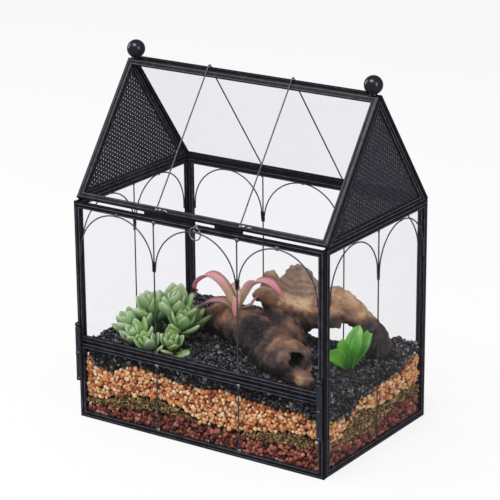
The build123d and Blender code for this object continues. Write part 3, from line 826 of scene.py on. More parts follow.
def barrel(radius, low, high, lip=0.25, mouth=0.0):
    """Tube outside with softened ends; a mouth gives it an open bore down to its floor."""
    outer = [(radius - lip, low), (radius, low + lip), (radius, high - lip), (radius - lip, high)]
    if not mouth:
        return [(0, low)] + outer + [(0, high)]
    return [(0, low)] + outer + [(mouth, high), (mouth, low + BARREL_FLOOR),
                                  (0, low + BARREL_FLOOR)]


def at_hinge(side, shape):
    """A lathe shape moved to the hinge line of one side."""
    points, faces = shape
    return points + np.array([side * hinge_x, hinge_y, 0]), faces


def box_shape(low, high, soft=0.15):
    """Block with chamfered long edges, from its lowest to its highest corner."""
    x0, y0, z0 = low
    x1, y1, z1 = high
    outline = [(x0 + soft, y0), (x1 - soft, y0), (x1, y0 + soft), (x1, y1 - soft),
               (x1 - soft, y1), (x0 + soft, y1), (x0, y1 - soft), (x0, y0 + soft)]
    points = [(x, y, z) for z in (z0, z1) for x, y in outline]
    faces = [[i, (i + 1) % 8, 8 + (i + 1) % 8, 8 + i] for i in range(8)]
    return np.array(points), faces + [list(range(8))[::-1], list(range(8, 16))]


def dark_barrel_steel():
    """Blued barrel steel: dark grey-blue, satin, streaked along the tube."""
    material, tree, place = start_material("dark_barrel_steel")
    stretch = add_node(tree, "Mapping", {"Vector": place, "Scale": (900.0, 900.0, 90.0)})
    streak = add_node(tree, "TexNoise", {"Vector": stretch, "Scale": 1.0, "Detail": 3.0})
    colour = add_node(tree, "Mix", {0: streak, 6: linear("#30323c"), 7: linear("#7c808e")},
                      data_type="RGBA")
    rough = add_node(tree, "MapRange", {"Value": streak, 3: 0.12, 4: 0.26})
    skin = add_node(tree, "BsdfPrincipled", {"Base Color": colour, "Roughness": rough,
                                             "Metallic": 0.85})
    return finished(material, skin)


barrel_steel = dark_barrel_steel()
for side, sign in (("left", -1), ("right", 1)):
    socket_low, socket_high = node_box(side + "_socket")
    knuckle_low, knuckle_high = node_box(side + "_knuckle")
    pin_low, pin_high = node_box(side + "_pin")
    hinge_x = abs(pin_low[0] + pin_high[0]) / 2
    hinge_y = (pin_low[1] + pin_high[1]) / 2
    ring = (pin_high[0] - pin_low[0]) / 2
    tube_radius = ring - 0.2
    shapes = [lathe(barrel(tube_radius, socket_low[2], socket_high[2] - 3.6, mouth=BARREL_BORE)),
              lathe(barrel(ring, socket_high[2] - MOUTH_RING, socket_high[2], mouth=BARREL_BORE)),
              lathe(barrel(ring - 0.05, socket_low[2], socket_low[2] + FOOT_RING))]
    reach = sorted([sign * hinge_x, sign * (hinge_x - LEAF_REACH)])
    leaf = box_shape((reach[0], lower_low[1] - LEAF_PROUD, socket_low[2] + LEAF_SHORT),
                     (reach[1], lower_low[1] + LEAF_SUNK, socket_high[2] - LEAF_SHORT))
    add_piece(side + "_hinge_socket", *joined([at_hinge(sign, shape) for shape in shapes] + [leaf]),
              barrel_steel, "case", "dark_barrel_metal", [side + "_socket"])
    leaf = box_shape((reach[0], door_low[1] - LEAF_PROUD, door_low[2] + LEAF_SHORT),
                     (reach[1], door_low[1] + LEAF_SUNK, knuckle_high[2]))
    upper = lathe(barrel(tube_radius, knuckle_low[2], knuckle_high[2]))
    add_piece(side + "_hinge_knuckle", *joined([at_hinge(sign, upper), leaf]), barrel_steel,
              "front_door", "dark_barrel_metal", [side + "_knuckle"])
    top, base = pin_high[2], knuckle_high[2]
    head = [(0, pin_low[2]), (1.0, pin_low[2]), (1.2, pin_low[2] + 0.3), (1.2, base - 0.2),
            (ring - 0.2, base), (ring, base + 0.2), (ring, base + 1.0), (ring - 0.8, base + 1.7),
            (ring - 0.9, base + 2.4), (ring - 0.2, base + 3.1), (ring, base + 3.6)]
    for angle in np.linspace(0, np.pi / 2, 7)[1:]:
        head.append((ring * np.cos(angle) if angle < 1.57 else 0,
                     base + 3.6 + (top - base - 3.6) * np.sin(angle)))
    add_piece(side + "_hinge_pin", *at_hinge(sign, lathe(head)), gloss, "front_door",
              "black_gloss_metal", [side + "_pin"])

# Door's top rail: two stop strips that stand against the eave, and the pull ring in its eye.
# The eye is a loop of thin wire on a solder pad; the ring swings in it.
strip_low, strip_high = node_box("stop_strips")
_, eye_high = node_box("ring_eye")
ring_low, ring_high = node_box("pull_ring")
STRIP_SPANS = ((-52.0, 0.0), (19.0, 47.0))
strips = [box_shape((start, strip_low[1], strip_low[2]), (end, strip_high[1], strip_high[2]), 0.2)
          for start, end in STRIP_SPANS]
add_piece("door_stop_strips", *joined(strips), bar_black, "front_door", "black_patina_metal",
          ["stop_strips"], across=np.full(32, FACE_MIDDLE))


def wire_ring(centre, axis, radius, wire, turns=48, sides=12):
    """Closed ring of round wire about an axis."""
    axis = np.asarray(axis, float)
    first = np.cross(axis, (0.0, 0.3, 1.0))
    first /= np.linalg.norm(first)
    second = np.cross(axis, first)
    along = np.arange(turns) * 2 * np.pi / turns
    spoke = np.cos(along)[:, None] * first + np.sin(along)[:, None] * second
    round_wire = np.arange(sides) * 2 * np.pi / sides
    points = (np.asarray(centre) + spoke[:, None] * (radius + wire * np.cos(round_wire))[:, None]
              + axis * (wire * np.sin(round_wire))[:, None])
    faces = ring_faces(turns, sides, closed=True)
    return points.reshape(-1, 3), [face[::-1] for face in faces]


ring_centre = (ring_low + ring_high) / 2
ring_wire = (ring_high[1] - ring_low[1]) / 2
ring_radius = (ring_high[2] - ring_low[2]) / 2 - ring_wire
add_piece("pull_ring_wire", *wire_ring(ring_centre, (0, 1, 0), ring_radius, ring_wire), silver,
          "ring", "dark_barrel_metal", ["pull_ring"])
eye_centre = (ring_centre[0], ring_centre[1], ring_centre[2] + ring_radius)
pad_points, pad_faces = bead((0, 0, 0), 1.4, 0.8, 7, 14)
pad = np.column_stack([pad_points[:, 0] + eye_centre[0], door_low[1] + 0.15 - pad_points[:, 2],
                       pad_points[:, 1] + eye_high[2] - 1.6])
eye = wire_ring(eye_centre, (1, 0, 0), 1.25, 0.4, 32, 10)
add_piece("ring_eye_loop", *joined([eye, (pad, pad_faces)]), silver, "front_door",
          "dark_barrel_metal", ["ring_eye"])

# Filling, seen through the glass: red lava chips, dried moss, orange gravel and black soil.
# Every layer is a skin of loose grains along the four panes, over a dark core of packed soil.
INNER_FRONT = lower_high[1]
INNER_BACK = back_low[1]
INNER_SIDE = half_width - bar_depth
CORE_INSET = 5.5
CORE_BOTTOM = 8.0
CORE_COVER = 2.0
FLOOR_TOP = floor_high[2]

LEVELS = {
    "front": ((-118, -112, -93, -84, -65, -42, -21, 0, 25, 40, 72, 99, 118),
              (59, 49, 46, 53, 57, 55, 50, 51, 55, 52, 50, 50, 46),
              (17, 17, 21, 26, 28, 31, 28, 19, 21, 20, 28, 33, 29),
              (12, 13, 14, 15, 18, 20, 22, 18, 20, 19, 19, 22, 23)),
    "right": ((-76, -48, -33, -20, 0, 14, 34, 53, 60, 81), (46, 41, 37, 48, 47, 51, 50, 51, 58, 58),
              (28, 24, 33, 39, 34, 31, 30, 33, 32, 29), (24, 21, 18, 16, 15, 17, 25, 23, 22, 22)),
    "back": ((-118, -80, -40, 0, 40, 80, 118), (58, 54, 50, 44, 40, 52, 58),
             (24, 28, 32, 27, 33, 28, 29), (16, 18, 22, 18, 20, 24, 22)),
    "left": ((-76, -40, 0, 40, 81), (59, 54, 57, 52, 58), (17, 24, 28, 22, 24),
             (12, 15, 20, 17, 16)),
}
WALLS = {
    "front": ((1, 0), (0, INNER_FRONT), (0, 1), (-INNER_SIDE, INNER_SIDE)),
    "right": ((0, 1), (INNER_SIDE, 0), (-1, 0), (INNER_FRONT, INNER_BACK)),
    "back": ((1, 0), (0, INNER_BACK), (0, -1), (-INNER_SIDE, INNER_SIDE)),
    "left": ((0, 1), (-INNER_SIDE, 0), (1, 0), (INNER_FRONT, INNER_BACK)),
}
GOLDEN = (1 + 5 ** 0.5) / 2


def ripple(points, scale, seed, octaves=4):
    """Smooth noise from -1 to 1: waves in random directions, each octave finer and fainter."""
    rng = np.random.default_rng(seed)
    total = np.zeros(len(points))
    weight = 0
    for octave in range(octaves):
        for wave in range(5):
            way = rng.normal(size=3)
            way *= 2 ** octave / scale * rng.uniform(0.7, 1.4) / np.linalg.norm(way)
            total += np.sin(points @ way * 6.283 + rng.uniform(0, 6.283)) / 2 ** octave
        weight += 2.2 / 2 ** octave
    return total / weight


def soil_height(x, y):
    """Top of the soil: level at the panes, mounded under the wood, uneven by hand."""
    mound = 12 * np.exp(-((x - 22) ** 2 + (y - 4) ** 2) / 44 ** 2)
    heap = 3 * np.exp(-((x + 80) ** 2 + (y + 30) ** 2) / 40 ** 2)
    back_heap = 7 * np.exp(-((x + 42) ** 2 + (y - 45) ** 2) / 26 ** 2)
    back_heap = back_heap - 21 * np.exp(-((x - 30) ** 2 / 34 ** 2 + (y - 84) ** 2 / 34 ** 2))
    flat = np.column_stack([np.ravel(x), np.ravel(y), np.zeros(np.size(x))])
    return 66.5 + mound + heap + back_heap + 1.2 * ripple(flat, 45, 3).reshape(np.shape(x))


def icosahedron():
    """Twelve corners and twenty faces of a regular icosahedron of radius 1."""
    corners = [(side, up * GOLDEN, 0) for side in (-1, 1) for up in (-1, 1)]
    points = np.array(corners + [(0, a, b) for a, b, _ in corners]
                      + [(b, 0, a) for a, b, _ in corners], float)
    points /= np.linalg.norm(points[0])
    edge = min(np.linalg.norm(points[0] - other) for other in points[1:]) * 1.01
    faces = []
    for a in range(12):
        for b in range(a + 1, 12):
            for c in range(b + 1, 12):
                trio = points[[a, b, c]]
                if max(np.linalg.norm(trio - np.roll(trio, 1, axis=0), axis=1)) < edge:
                    out = np.cross(trio[1] - trio[0], trio[2] - trio[0]).dot(trio.sum(axis=0)) > 0
                    faces.append((a, b, c) if out else (a, c, b))
    return points, np.array(faces)


def loose_grains(places, radius, rng, stretch=(1.0, 1.0, 1.0), rough=0.16):
    """Angular grains at the places: each turned at random, with its own size and dented corners."""
    base, faces = icosahedron()
    count = len(places)
    quat = rng.normal(size=(count, 4))
    w, x, y, z = (quat / np.linalg.norm(quat, axis=1)[:, None]).T
    turn = np.array([[1 - 2 * (y * y + z * z), 2 * (x * y - z * w), 2 * (x * z + y * w)],
                     [2 * (x * y + z * w), 1 - 2 * (x * x + z * z), 2 * (y * z - x * w)],
                     [2 * (x * z - y * w), 2 * (y * z + x * w), 1 - 2 * (x * x + y * y)]])
    shape = base * (1 + rough * rng.uniform(-1, 1, (count, 12, 1)))
    shape *= rng.uniform(0.75, 1.25, (count, 1, 3)) * np.array(stretch)
    shape = np.einsum("ijn,nkj->nki", turn, shape) * np.reshape(radius, (-1, 1, 1))
    points = (shape + np.asarray(places)[:, None]).reshape(-1, 3)
    all_faces = (faces[None] + 12 * np.arange(count)[:, None, None]).reshape(-1, 3)
    return points, all_faces, np.repeat(rng.uniform(0, 1, count), 12)


def add_grains(name, grains, material, nodes=()):
    """Puts grains into one flat-faced mesh that rides on the case, with a tone for each grain."""
    points, faces, tone = grains
    mesh = bpy.data.meshes.new(name)
    mesh.vertices.add(len(points))
    mesh.vertices.foreach_set("co", (points * MM).astype(np.float32).ravel())
    mesh.loops.add(faces.size)
    mesh.loops.foreach_set("vertex_index", faces.astype(np.int32).ravel())
    mesh.polygons.add(len(faces))
    mesh.polygons.foreach_set("loop_start", np.arange(0, faces.size, 3, dtype=np.int32))
    mesh.update(calc_edges=True)
    point_values(mesh, "tone", tone)
    ride_along(name, mesh, material, "case", nodes)


def against_wall(wall, low, high, step, depth, rng):
    """Staggered grid of places along one pane between two levels, shaken by a third of a step."""
    along, origin, inwards, (start, stop) = WALLS[wall]
    across, height = np.meshgrid(np.arange(start + step / 2, stop - step / 4, step),
                                 np.arange(FLOOR_TOP + step / 2, 90, step * 0.86))
    across = across + (np.arange(len(height)) % 2)[:, None] * step / 2
    across, height = across.ravel(), height.ravel()
    across = across + rng.uniform(-0.3, 0.3, len(across)) * step
    height = height + rng.uniform(-0.3, 0.3, len(across)) * step
    keep = (height > low(across) + 0.3 * step) & (height < high(across) - 0.2 * step)
    keep &= (across > start + step / 2) & (across < stop - step / 2)
    across, height = across[keep], height[keep]
    inside = depth + rng.uniform(0, 0.35, len(across)) * step
    flat = np.outer(across, along) + np.array(origin) + np.outer(inside, inwards)
    return np.column_stack([flat, height])


def level_line(wall, row):
    """Height of a layer's edge along one pane, or of the soil's top there."""
    stations = LEVELS[wall]
    if row < 3:
        return lambda across: np.interp(across, stations[0], stations[row + 1])
    along, origin, _, _ = WALLS[wall]
    return lambda across: soil_height(across * along[0] + origin[0], across * along[1] + origin[1])


def layer_places(below, above, step, depths, seed):
    """Places of one layer's grains behind all four panes, between two rows of the levels."""
    rng = np.random.default_rng(seed)
    places = []
    for wall in WALLS:
        low = level_line(wall, below) if below is not None else (lambda across: 0 * across)
        high = level_line(wall, above)
        places += [against_wall(wall, low, high, step, depth, rng) for depth in depths]
    return np.concatenate(places), rng


def grain_material(name, stops, roughness, speck_scale, gleam=0.35):
    """Stone, moss or soil: each grain has its own colour from the stops, clouded and pitted."""
    material, tree, place = start_material(name)
    own = add_node(tree, "Attribute", attribute_name="tone")
    cloud = add_node(tree, "TexNoise", {"Vector": place, "Scale": speck_scale, "Detail": 3.0})
    shade = add_node(tree, "Math", {0: cloud, 1: 0.3, 2: -0.15}, operation="MULTIPLY_ADD")
    mixed = add_node(tree, "Math", {0: own.outputs["Fac"], 1: shade}, operation="ADD",
                     use_clamp=True)
    colours = add_node(tree, "ValToRGB", {0: mixed}, stops)
    relief = add_node(tree, "Bump", {"Height": cloud, "Strength": 0.5, "Distance": 0.0006})
    skin = add_node(tree, "BsdfPrincipled", {"Base Color": colours, "Roughness": roughness,
                                             "Normal": relief, "Specular IOR Level": gleam})
    return finished(material, skin)


gravel_stone = grain_material("orange_gravel_stone", (
    (0.0, "#6f3a25"), (0.12, "#b5603a"), (0.35, "#d58a52"), (0.6, "#d9a87a"), (0.82, "#e8b877"),
    (1.0, "#eed6b8")), 0.5, 700.0, 0.4)
lava_stone = grain_material("red_lava_stone", (
    (0.0, "#331a18"), (0.3, "#6b332b"), (0.6, "#8f4a3c"), (0.85, "#a85f4c"), (1.0, "#c48a74")),
    0.7, 1200.0)
moss_fibre = grain_material("dried_moss_fibre", (
    (0.0, "#35221a"), (0.3, "#694a33"), (0.6, "#8f714b"), (0.85, "#9a8b53"), (1.0, "#c4ad80")),
    0.9, 900.0, 0.15)
soil_crumb = grain_material("black_soil_crumb", (
    (0.0, "#070709"), (0.45, "#121216"), (0.72, "#2b2b32"), (0.92, "#5b5c68"), (1.0, "#8f867c")),
    0.4, 900.0, 0.7)

places, rng = layer_places(1, 0, 3.7, (1.6, 4.8), 11)
add_grains("gravel_stones", loose_grains(places, rng.uniform(1.5, 2.5, len(places)), rng),
           gravel_stone, ["gravel_layer"])

places, rng = layer_places(None, 2, 4.0, (1.7, 4.8), 12)
bed = np.array([(x, y, FLOOR_TOP + 1.9) for x in np.arange(-INNER_SIDE + 4, INNER_SIDE - 3, 4.2)
                for y in np.arange(INNER_FRONT + 4, INNER_BACK - 3, 4.2)])
bed[:, :2] += rng.uniform(-1.0, 1.0, (len(bed), 2))
places = np.concatenate([places, bed])
add_grains("lava_chips", loose_grains(places, rng.uniform(1.7, 2.6, len(places)), rng, rough=0.28),
           lava_stone, ["lava_layer"])

places, rng = layer_places(2, 1, 1.9, (1.0, 2.6), 13)
add_grains("moss_tufts", loose_grains(places, rng.uniform(0.9, 1.5, len(places)), rng,
                                      (2.3, 0.6, 0.45), 0.2),
           moss_fibre, ["moss_layer"])

places, rng = layer_places(0, 3, 3.1, (1.6, 4.4), 14)
add_grains("soil_behind_glass", loose_grains(places, rng.uniform(1.2, 2.3, len(places)), rng,
                                             rough=0.28),
           soil_crumb, ["soil_layer"])

rng = np.random.default_rng(15)
x, y = np.meshgrid(np.arange(-INNER_SIDE + 2, INNER_SIDE - 1, 2.9),
                   np.arange(INNER_FRONT + 2, INNER_BACK - 1, 2.9))
x = x.ravel() + rng.uniform(-0.9, 0.9, x.size)
y = y.ravel() + rng.uniform(-0.9, 0.9, y.size)
places = np.column_stack([x, y, soil_height(x, y) + rng.uniform(-1.0, 0.9, len(x))])
crumb_sizes = rng.uniform(1.2, 1.5, len(x)) * rng.choice([1.0, 1.4, 1.9], len(x),
                                                         p=[0.5, 0.35, 0.15])
add_grains("soil_surface_crumbs", loose_grains(places, crumb_sizes, rng, rough=0.3), soil_crumb)


def soil_core():
    """Packed core: a grid of the soil's top, its edge dropped to a level bottom."""
    across = np.linspace(-INNER_SIDE + CORE_INSET, INNER_SIDE - CORE_INSET, 80)
    deep = np.linspace(INNER_FRONT + CORE_INSET, INNER_BACK - CORE_INSET, 52)
    x, y = np.meshgrid(across, deep)
    top = np.column_stack([x.ravel(), y.ravel(), soil_height(x, y).ravel() - CORE_COVER])
    top[:, 2] += 0.5 * ripple(top, 7, 8, 3)
    index = np.arange(len(top)).reshape(x.shape)
    quads = np.stack([index[:-1, :-1], index[:-1, 1:], index[1:, 1:], index[1:, :-1]], axis=-1)
    edge = np.concatenate([index[0, :-1], index[:-1, -1], index[-1, :0:-1], index[:0:-1, 0]])
    foot = top[edge] * (1, 1, 0) + (0, 0, CORE_BOTTOM)
    count = len(edge)
    turn = np.arange(count)
    sides = np.column_stack([len(top) + turn, len(top) + (turn + 1) % count,
                             np.roll(edge, -1), edge])
    faces = quads.reshape(-1, 4).tolist() + sides.tolist()
    return np.concatenate([top, foot]), faces + [(len(top) + turn[::-1]).tolist()]


core_points, core_faces = soil_core()
core_tone = 0.25 + 0.2 * ripple(core_points, 6, 9, 3)
add_piece("packed_soil_core", core_points, core_faces, soil_crumb, "case", "black_soil",
          tone=core_tone)

# Driftwood: one weathered root with a hollow log in front, a thin upright slab behind it,
# and a limb that arches down to the right. Tubes are grown together by a fine remesh.
WOOD_VOXEL = 1.25
MOUTH = (82.0, -55.0, 89.0)
MOUTH_WAY = (0.8, -0.56, -0.06)
MOUTH_RADIUS = 6.8
LIMBS = (
    # Each limb is its stations of x, y, z and radius, and how flat it is front to back
    (((-50, 10, 74, 11), (-34, 4, 82, 14), (-10, -6, 87, 16), (18, -17, 86, 18), (44, -30, 80, 20),
      (64, -43, 82, 18), (78, -51, 85, 16), (88, -56, 87, 12)), 1.0),
    (((14, 15, 84, 12), (13, 15, 104, 10), (12, 15, 122, 9), (12, 15, 132, 6)), 0.6),
    (((20, 15, 104, 14), (22, 15, 122, 10)), 0.55),
    (((34, 15, 82, 18), (38, 15, 106, 22), (41, 15, 124, 19), (43, 15, 136, 12),
      (44, 15, 143, 5)), 0.45),
    (((52, 15, 108, 12), (55, 15, 122, 8), (55, 15, 132, 6)), 0.6),
    (((34, 5, 106, 10), (16, 2, 113, 8), (3, 1, 112, 4)), 0.8),
    (((10, 14, 97, 12), (40, 13, 101, 14), (60, 14, 104, 14), (75, 16, 111, 18), (87, 19, 110, 12),
      (98, 24, 99, 10), (107, 29, 85, 11.5), (108, 31, 66, 12)), 1.0),
    (((20, 4, 96, 13), (38, -6, 86, 17), (54, -16, 76, 15)), 1.0),
    (((78, 14, 122, 8), (75, 14, 129, 5)), 1.0),
    (((80, -56, 74, 8), (92, -59, 74, 8), (102, -60, 70, 6)), 0.8),
)


def smooth_stations(stations, count):
    """Stations of a limb blended into many, along a curve through them all."""
    stations = np.asarray(stations, float)
    if len(stations) == 2:
        share = np.linspace(0, 1, count)[:, None]
        return stations[0] * (1 - share) + stations[1] * share
    padded = np.vstack([2 * stations[0] - stations[1], stations, 2 * stations[-1] - stations[-2]])
    rows = []
    for at in np.linspace(0, len(stations) - 1.0001, count):
        index, t = int(at), at - int(at)
        a, b, c, d = padded[index:index + 4]
        rows.append(0.5 * (2 * b + (c - a) * t + (2 * a - 5 * b + 4 * c - d) * t * t
                           + (3 * b - a - 3 * c + d) * t ** 3))
    return np.array(rows)


def rough_limb(stations, flat, seed):
    """Tube of a limb, fluted along its grain and flattened front to back, with domed ends."""
    rows = smooth_stations(stations, 40)
    reach = np.linspace(0, 1, 40)
    ends = np.sqrt(np.clip(1 - np.abs(2 * reach - 1) ** 14, 0.02, 1))
    points, faces = tube(rows[:, :3], rows[:, 3] * ends, 30)
    grid = points.reshape(40, 30, 3)
    centre = rows[:, None, :3]
    around = np.arange(30) * 2 * np.pi / 30
    rng = np.random.default_rng(seed)
    flute = sum(np.sin(around[None] * waves + 3 * np.sin(reach[:, None] * rng.uniform(2, 5))
                       + rng.uniform(0, 6)) / waves for waves in (3, 5, 9))
    grid = centre + (grid - centre) * (1 + 0.13 * flute)[..., None]
    grid[..., 1] = centre[..., 1] + (grid[..., 1] - centre[..., 1]) * flat
    return grid.reshape(-1, 3), faces


def grown_together(points, faces, voxel):
    """The outer skin of overlapping closed shapes: a voxel remesh, then its vertices and faces."""
    mesh = bpy.data.meshes.new("rough")
    mesh.from_pydata((points * MM).tolist(), [], faces)
    rough = bpy.data.objects.new("rough", mesh)
    bpy.context.scene.collection.objects.link(rough)
    remesh = rough.modifiers.new("skin", "REMESH")
    remesh.mode = "VOXEL"
    remesh.voxel_size = voxel * MM
    relax = rough.modifiers.new("relax", "SMOOTH")
    relax.iterations = 4
    skin = rough.evaluated_get(bpy.context.evaluated_depsgraph_get()).data
    count = len(skin.vertices)
    places = np.empty(count * 3, np.float32)
    normals = np.empty(count * 3, np.float32)
    skin.vertices.foreach_get("co", places)
    skin.vertices.foreach_get("normal", normals)
    skin_faces = [tuple(face.vertices) for face in skin.polygons]
    bpy.data.objects.remove(rough)
    bpy.data.meshes.remove(mesh)
    return places.reshape(-1, 3) / MM, normals.reshape(-1, 3), skin_faces


def driftwood():
    """Grown limbs, roughened like bark, with the log's mouth pressed in; returns tone and grey.
    The tone holds painted light on upward faces and along the log's upper left, and painted
    shade in the mouth and in a patch on the log's front.
    """
    shapes = [rough_limb(stations, flat, 60 + number)
              for number, (stations, flat) in enumerate(LIMBS)]
    points, normals, faces = grown_together(*joined(shapes), WOOD_VOXEL)
    coarse = ripple(points, 15, 71, 3)
    fine = ripple(points, 5, 72, 3)
    layered = np.sin(points[:, 2] * 1.1 + 2.5 * ripple(points, 30, 73, 2))
    slab = np.clip((points[:, 2] - 114) / 6, 0, 1) * np.clip((64 - points[:, 0]) / 5, 0, 1)
    points = points + normals * (1.0 * coarse + 0.55 * fine + 0.45 * layered * slab)[:, None]
    way = np.array(MOUTH_WAY) / np.linalg.norm(MOUTH_WAY)
    apart = points - np.array(MOUTH)
    deep = apart @ way
    radial = np.linalg.norm(apart - np.outer(deep, way), axis=1)
    edge = MOUTH_RADIUS * (1 + 0.12 * np.sin(points[:, 2] * 0.6 + points[:, 1] * 0.4))
    pressed = np.clip((edge - radial) / 1.6, 0, 1) * (deep > -9)
    points = points - np.outer(pressed * 22, way)
    lip = np.exp(-((radial - edge - 2.2) / 2.2) ** 2) * (deep > -8)
    points = points + np.outer(lip * 1.2, way)
    in_front = np.clip((6 - points[:, 1]) / 8, 0, 1) * np.clip((110 - points[:, 2]) / 6, 0, 1)
    # Upward faces are lighter, on the root behind and on the darker log in front: painted light
    # from above
    tan = 0.66 + 0.16 * coarse + 0.28 * np.clip(normals[:, 2], -1, 1)
    tone = tan * (1 - in_front) + in_front * (0.28 + 0.14 * coarse
                                              + 0.3 * np.clip(normals[:, 2], -0.3, 1))
    # A lighter band along the top of the log's left part: painted light
    painted_light_top = np.exp(-((points[:, 0] + 20) ** 2 / 700 + (points[:, 2] - 99) ** 2 / 60))
    shard = np.clip((points[:, 0] - 84) / 5, 0, 1) * np.clip((82 - points[:, 2]) / 4, 0, 1)
    tone += 0.3 * painted_light_top + 0.5 * shard * in_front
    # A dark patch on the log's front: painted shade of a hollow
    painted_shade_patch = np.exp(-((points[:, 0] - 28) ** 2 / 260 + (points[:, 2] - 92) ** 2 / 180))
    tone -= 0.75 * painted_shade_patch * (points[:, 1] < 12)
    tone -= 0.6 * np.clip((points[:, 0] - 94) / 9, 0, 1) * np.clip((108 - points[:, 2]) / 8, 0, 1)
    tone += 0.22 * np.exp(-((points[:, 0] - 52) ** 2 / 500 + (points[:, 2] - 112) ** 2 / 60))
    # The pressed-in mouth is darkened: painted shade inside the hollow
    tone -= 0.9 * pressed
    return points, faces, np.clip(tone, 0, 1), np.clip(
        slab * (0.55 + 0.5 * (points[:, 0] > 22)) + 0.15 * fine, 0, 1)


def weathered_wood():
    """Old root wood: charcoal brown to tan and ochre along the tone, which holds painted light and
    painted shade, greyer on the slab, with fine grain lines, pale flecks and a dry rough surface."""
    material, tree, place = start_material("weathered_wood")
    own = add_node(tree, "Attribute", attribute_name="tone")
    grey = add_node(tree, "Attribute", attribute_name="grey")
    cloud = add_node(tree, "TexNoise", {"Vector": place, "Scale": 75.0, "Detail": 8.0,
                                        "Roughness": 0.6})
    stretch = add_node(tree, "Mapping", {"Vector": place, "Rotation": (0.0, 0.12, -0.4),
                                         "Scale": (70.0, 420.0, 420.0)})
    grain = add_node(tree, "TexNoise", {"Vector": stretch, "Scale": 1.0, "Detail": 4.0,
                                        "Distortion": 0.3})
    shade = add_node(tree, "Math", {0: cloud, 1: 0.8, 2: -0.4}, operation="MULTIPLY_ADD")
    lines = add_node(tree, "Math", {0: grain, 1: 0.4, 2: -0.2}, operation="MULTIPLY_ADD")
    both = add_node(tree, "Math", {0: shade, 1: lines}, operation="ADD")
    mixed = add_node(tree, "Math", {0: own.outputs["Fac"], 1: both}, operation="ADD",
                     use_clamp=True)
    stops = ((0.0, "#171518"), (0.25, "#3b3030"), (0.45, "#634b42"), (0.65, "#8a6750"),
             (0.85, "#b08868"), (1.0, "#cbab8b"))
    colours = add_node(tree, "ValToRGB", {0: mixed}, stops)
    ash = add_node(tree, "Mix", {0: cloud, 6: linear("#5f4f49"), 7: linear("#a08d80")},
                   data_type="RGBA")
    greyed = add_node(tree, "Math", {0: grey.outputs["Fac"], 1: 0.75}, operation="MULTIPLY")
    colour = add_node(tree, "Mix", {0: greyed, 6: colours, 7: ash}, data_type="RGBA")
    height = add_node(tree, "Math", {0: cloud, 1: grain}, operation="ADD")
    relief = add_node(tree, "Bump", {"Height": height, "Strength": 0.55, "Distance": 0.0009})
    skin = add_node(tree, "BsdfPrincipled", {"Base Color": colour, "Roughness": 0.78,
                                             "Normal": relief, "Specular IOR Level": 0.3})
    return finished(material, skin)


wood_points, wood_faces, wood_tone, wood_grey = driftwood()
add_piece("driftwood_root", wood_points, wood_faces, weathered_wood(), "case", "driftwood",
          ["driftwood"], sharp=180, tone=wood_tone, grey=wood_grey)

# Succulent: several rosettes of fleshy pointed leaves crowded on one root.
# Outer leaves lie low and long, inner ones stand up; tips are paler.
ROSETTES = (
    # x, y, z of the heart, radius of the rosette, number of leaves, and the lean of its axis
    (-90, -40, 68, 29, 16, (-0.5, -0.2)),
    (-60, -28, 86, 33, 18, (0.15, -0.1)),
    (-78, -28, 80, 31, 16, (-0.25, 0.0)),
    (-50, -34, 78, 26, 15, (0.3, -0.1)),
    (-76, -52, 67, 25, 14, (-0.3, -0.5)),
    (-62, -56, 65, 23, 13, (-0.05, -0.55)),
    (-47, -50, 67, 24, 14, (0.3, -0.4)),
    (-76, -14, 72, 28, 13, (-0.2, 0.4)),
    (-56, -18, 76, 26, 12, (0.2, 0.3)),
)


def plump_leaf(length, wide, thick, curl):
    """Fleshy leaf along X: narrow root, full beyond the middle, pointed tip, curled upwards."""
    share = np.array([0, 0.14, 0.28, 0.42, 0.55, 0.67, 0.77, 0.85, 0.92, 0.965])
    rising = np.clip(share / 0.66, 0, 1)
    falling = np.clip((share - 0.66) / 0.34, 0, 1)
    full = (0.3 + 0.7 * np.sin(rising * np.pi / 2) ** 1.5) * (1 - falling ** 1.6) ** 0.9
    around = np.arange(10) * 2 * np.pi / 10
    rings = []
    for part, wide_part in zip(share, full):
        across = np.cos(around) * wide / 2 * wide_part
        keel = np.where(np.sin(around) < 0, 1.0, 0.45)
        up = np.sin(around) * keel * thick / 2 * (0.35 + 0.65 * wide_part)
        bend = curl * part ** 2
        rings.append(np.column_stack([np.full(10, part * length) - up * bend * 1.2, across,
                                      up + bend * length * 0.5]))
    points = np.concatenate(rings + [[[length, 0, curl * length * 0.5]], [[0, 0, 0]]])
    faces = ring_faces(len(share), 10)
    last = (len(share) - 1) * 10
    tip, root = len(points) - 2, len(points) - 1
    for point in range(10):
        after = (point + 1) % 10
        faces.append([last + point, last + after, tip])
        faces.append([after, point, root])
    return points, faces, np.concatenate([np.repeat(share, 10), [1.0, 0.0]])


def turned_up(points, rise, turn, axis, place):
    """Points tilted up by an angle, turned about a leaning axis, and moved to their place."""
    tilt = np.array([[np.cos(rise), 0, -np.sin(rise)], [0, 1, 0], [np.sin(rise), 0, np.cos(rise)]])
    spin = np.array([[np.cos(turn), -np.sin(turn), 0], [np.sin(turn), np.cos(turn), 0],
                     [0, 0, 1]])
    axis = np.array(axis, float)
    axis /= np.linalg.norm(axis)
    first = np.cross((0, 1, 0), axis)
    first /= np.linalg.norm(first)
    frame_axes = np.column_stack([first, np.cross(axis, first), axis])
    return points @ tilt.T @ spin.T @ frame_axes.T + np.array(place)


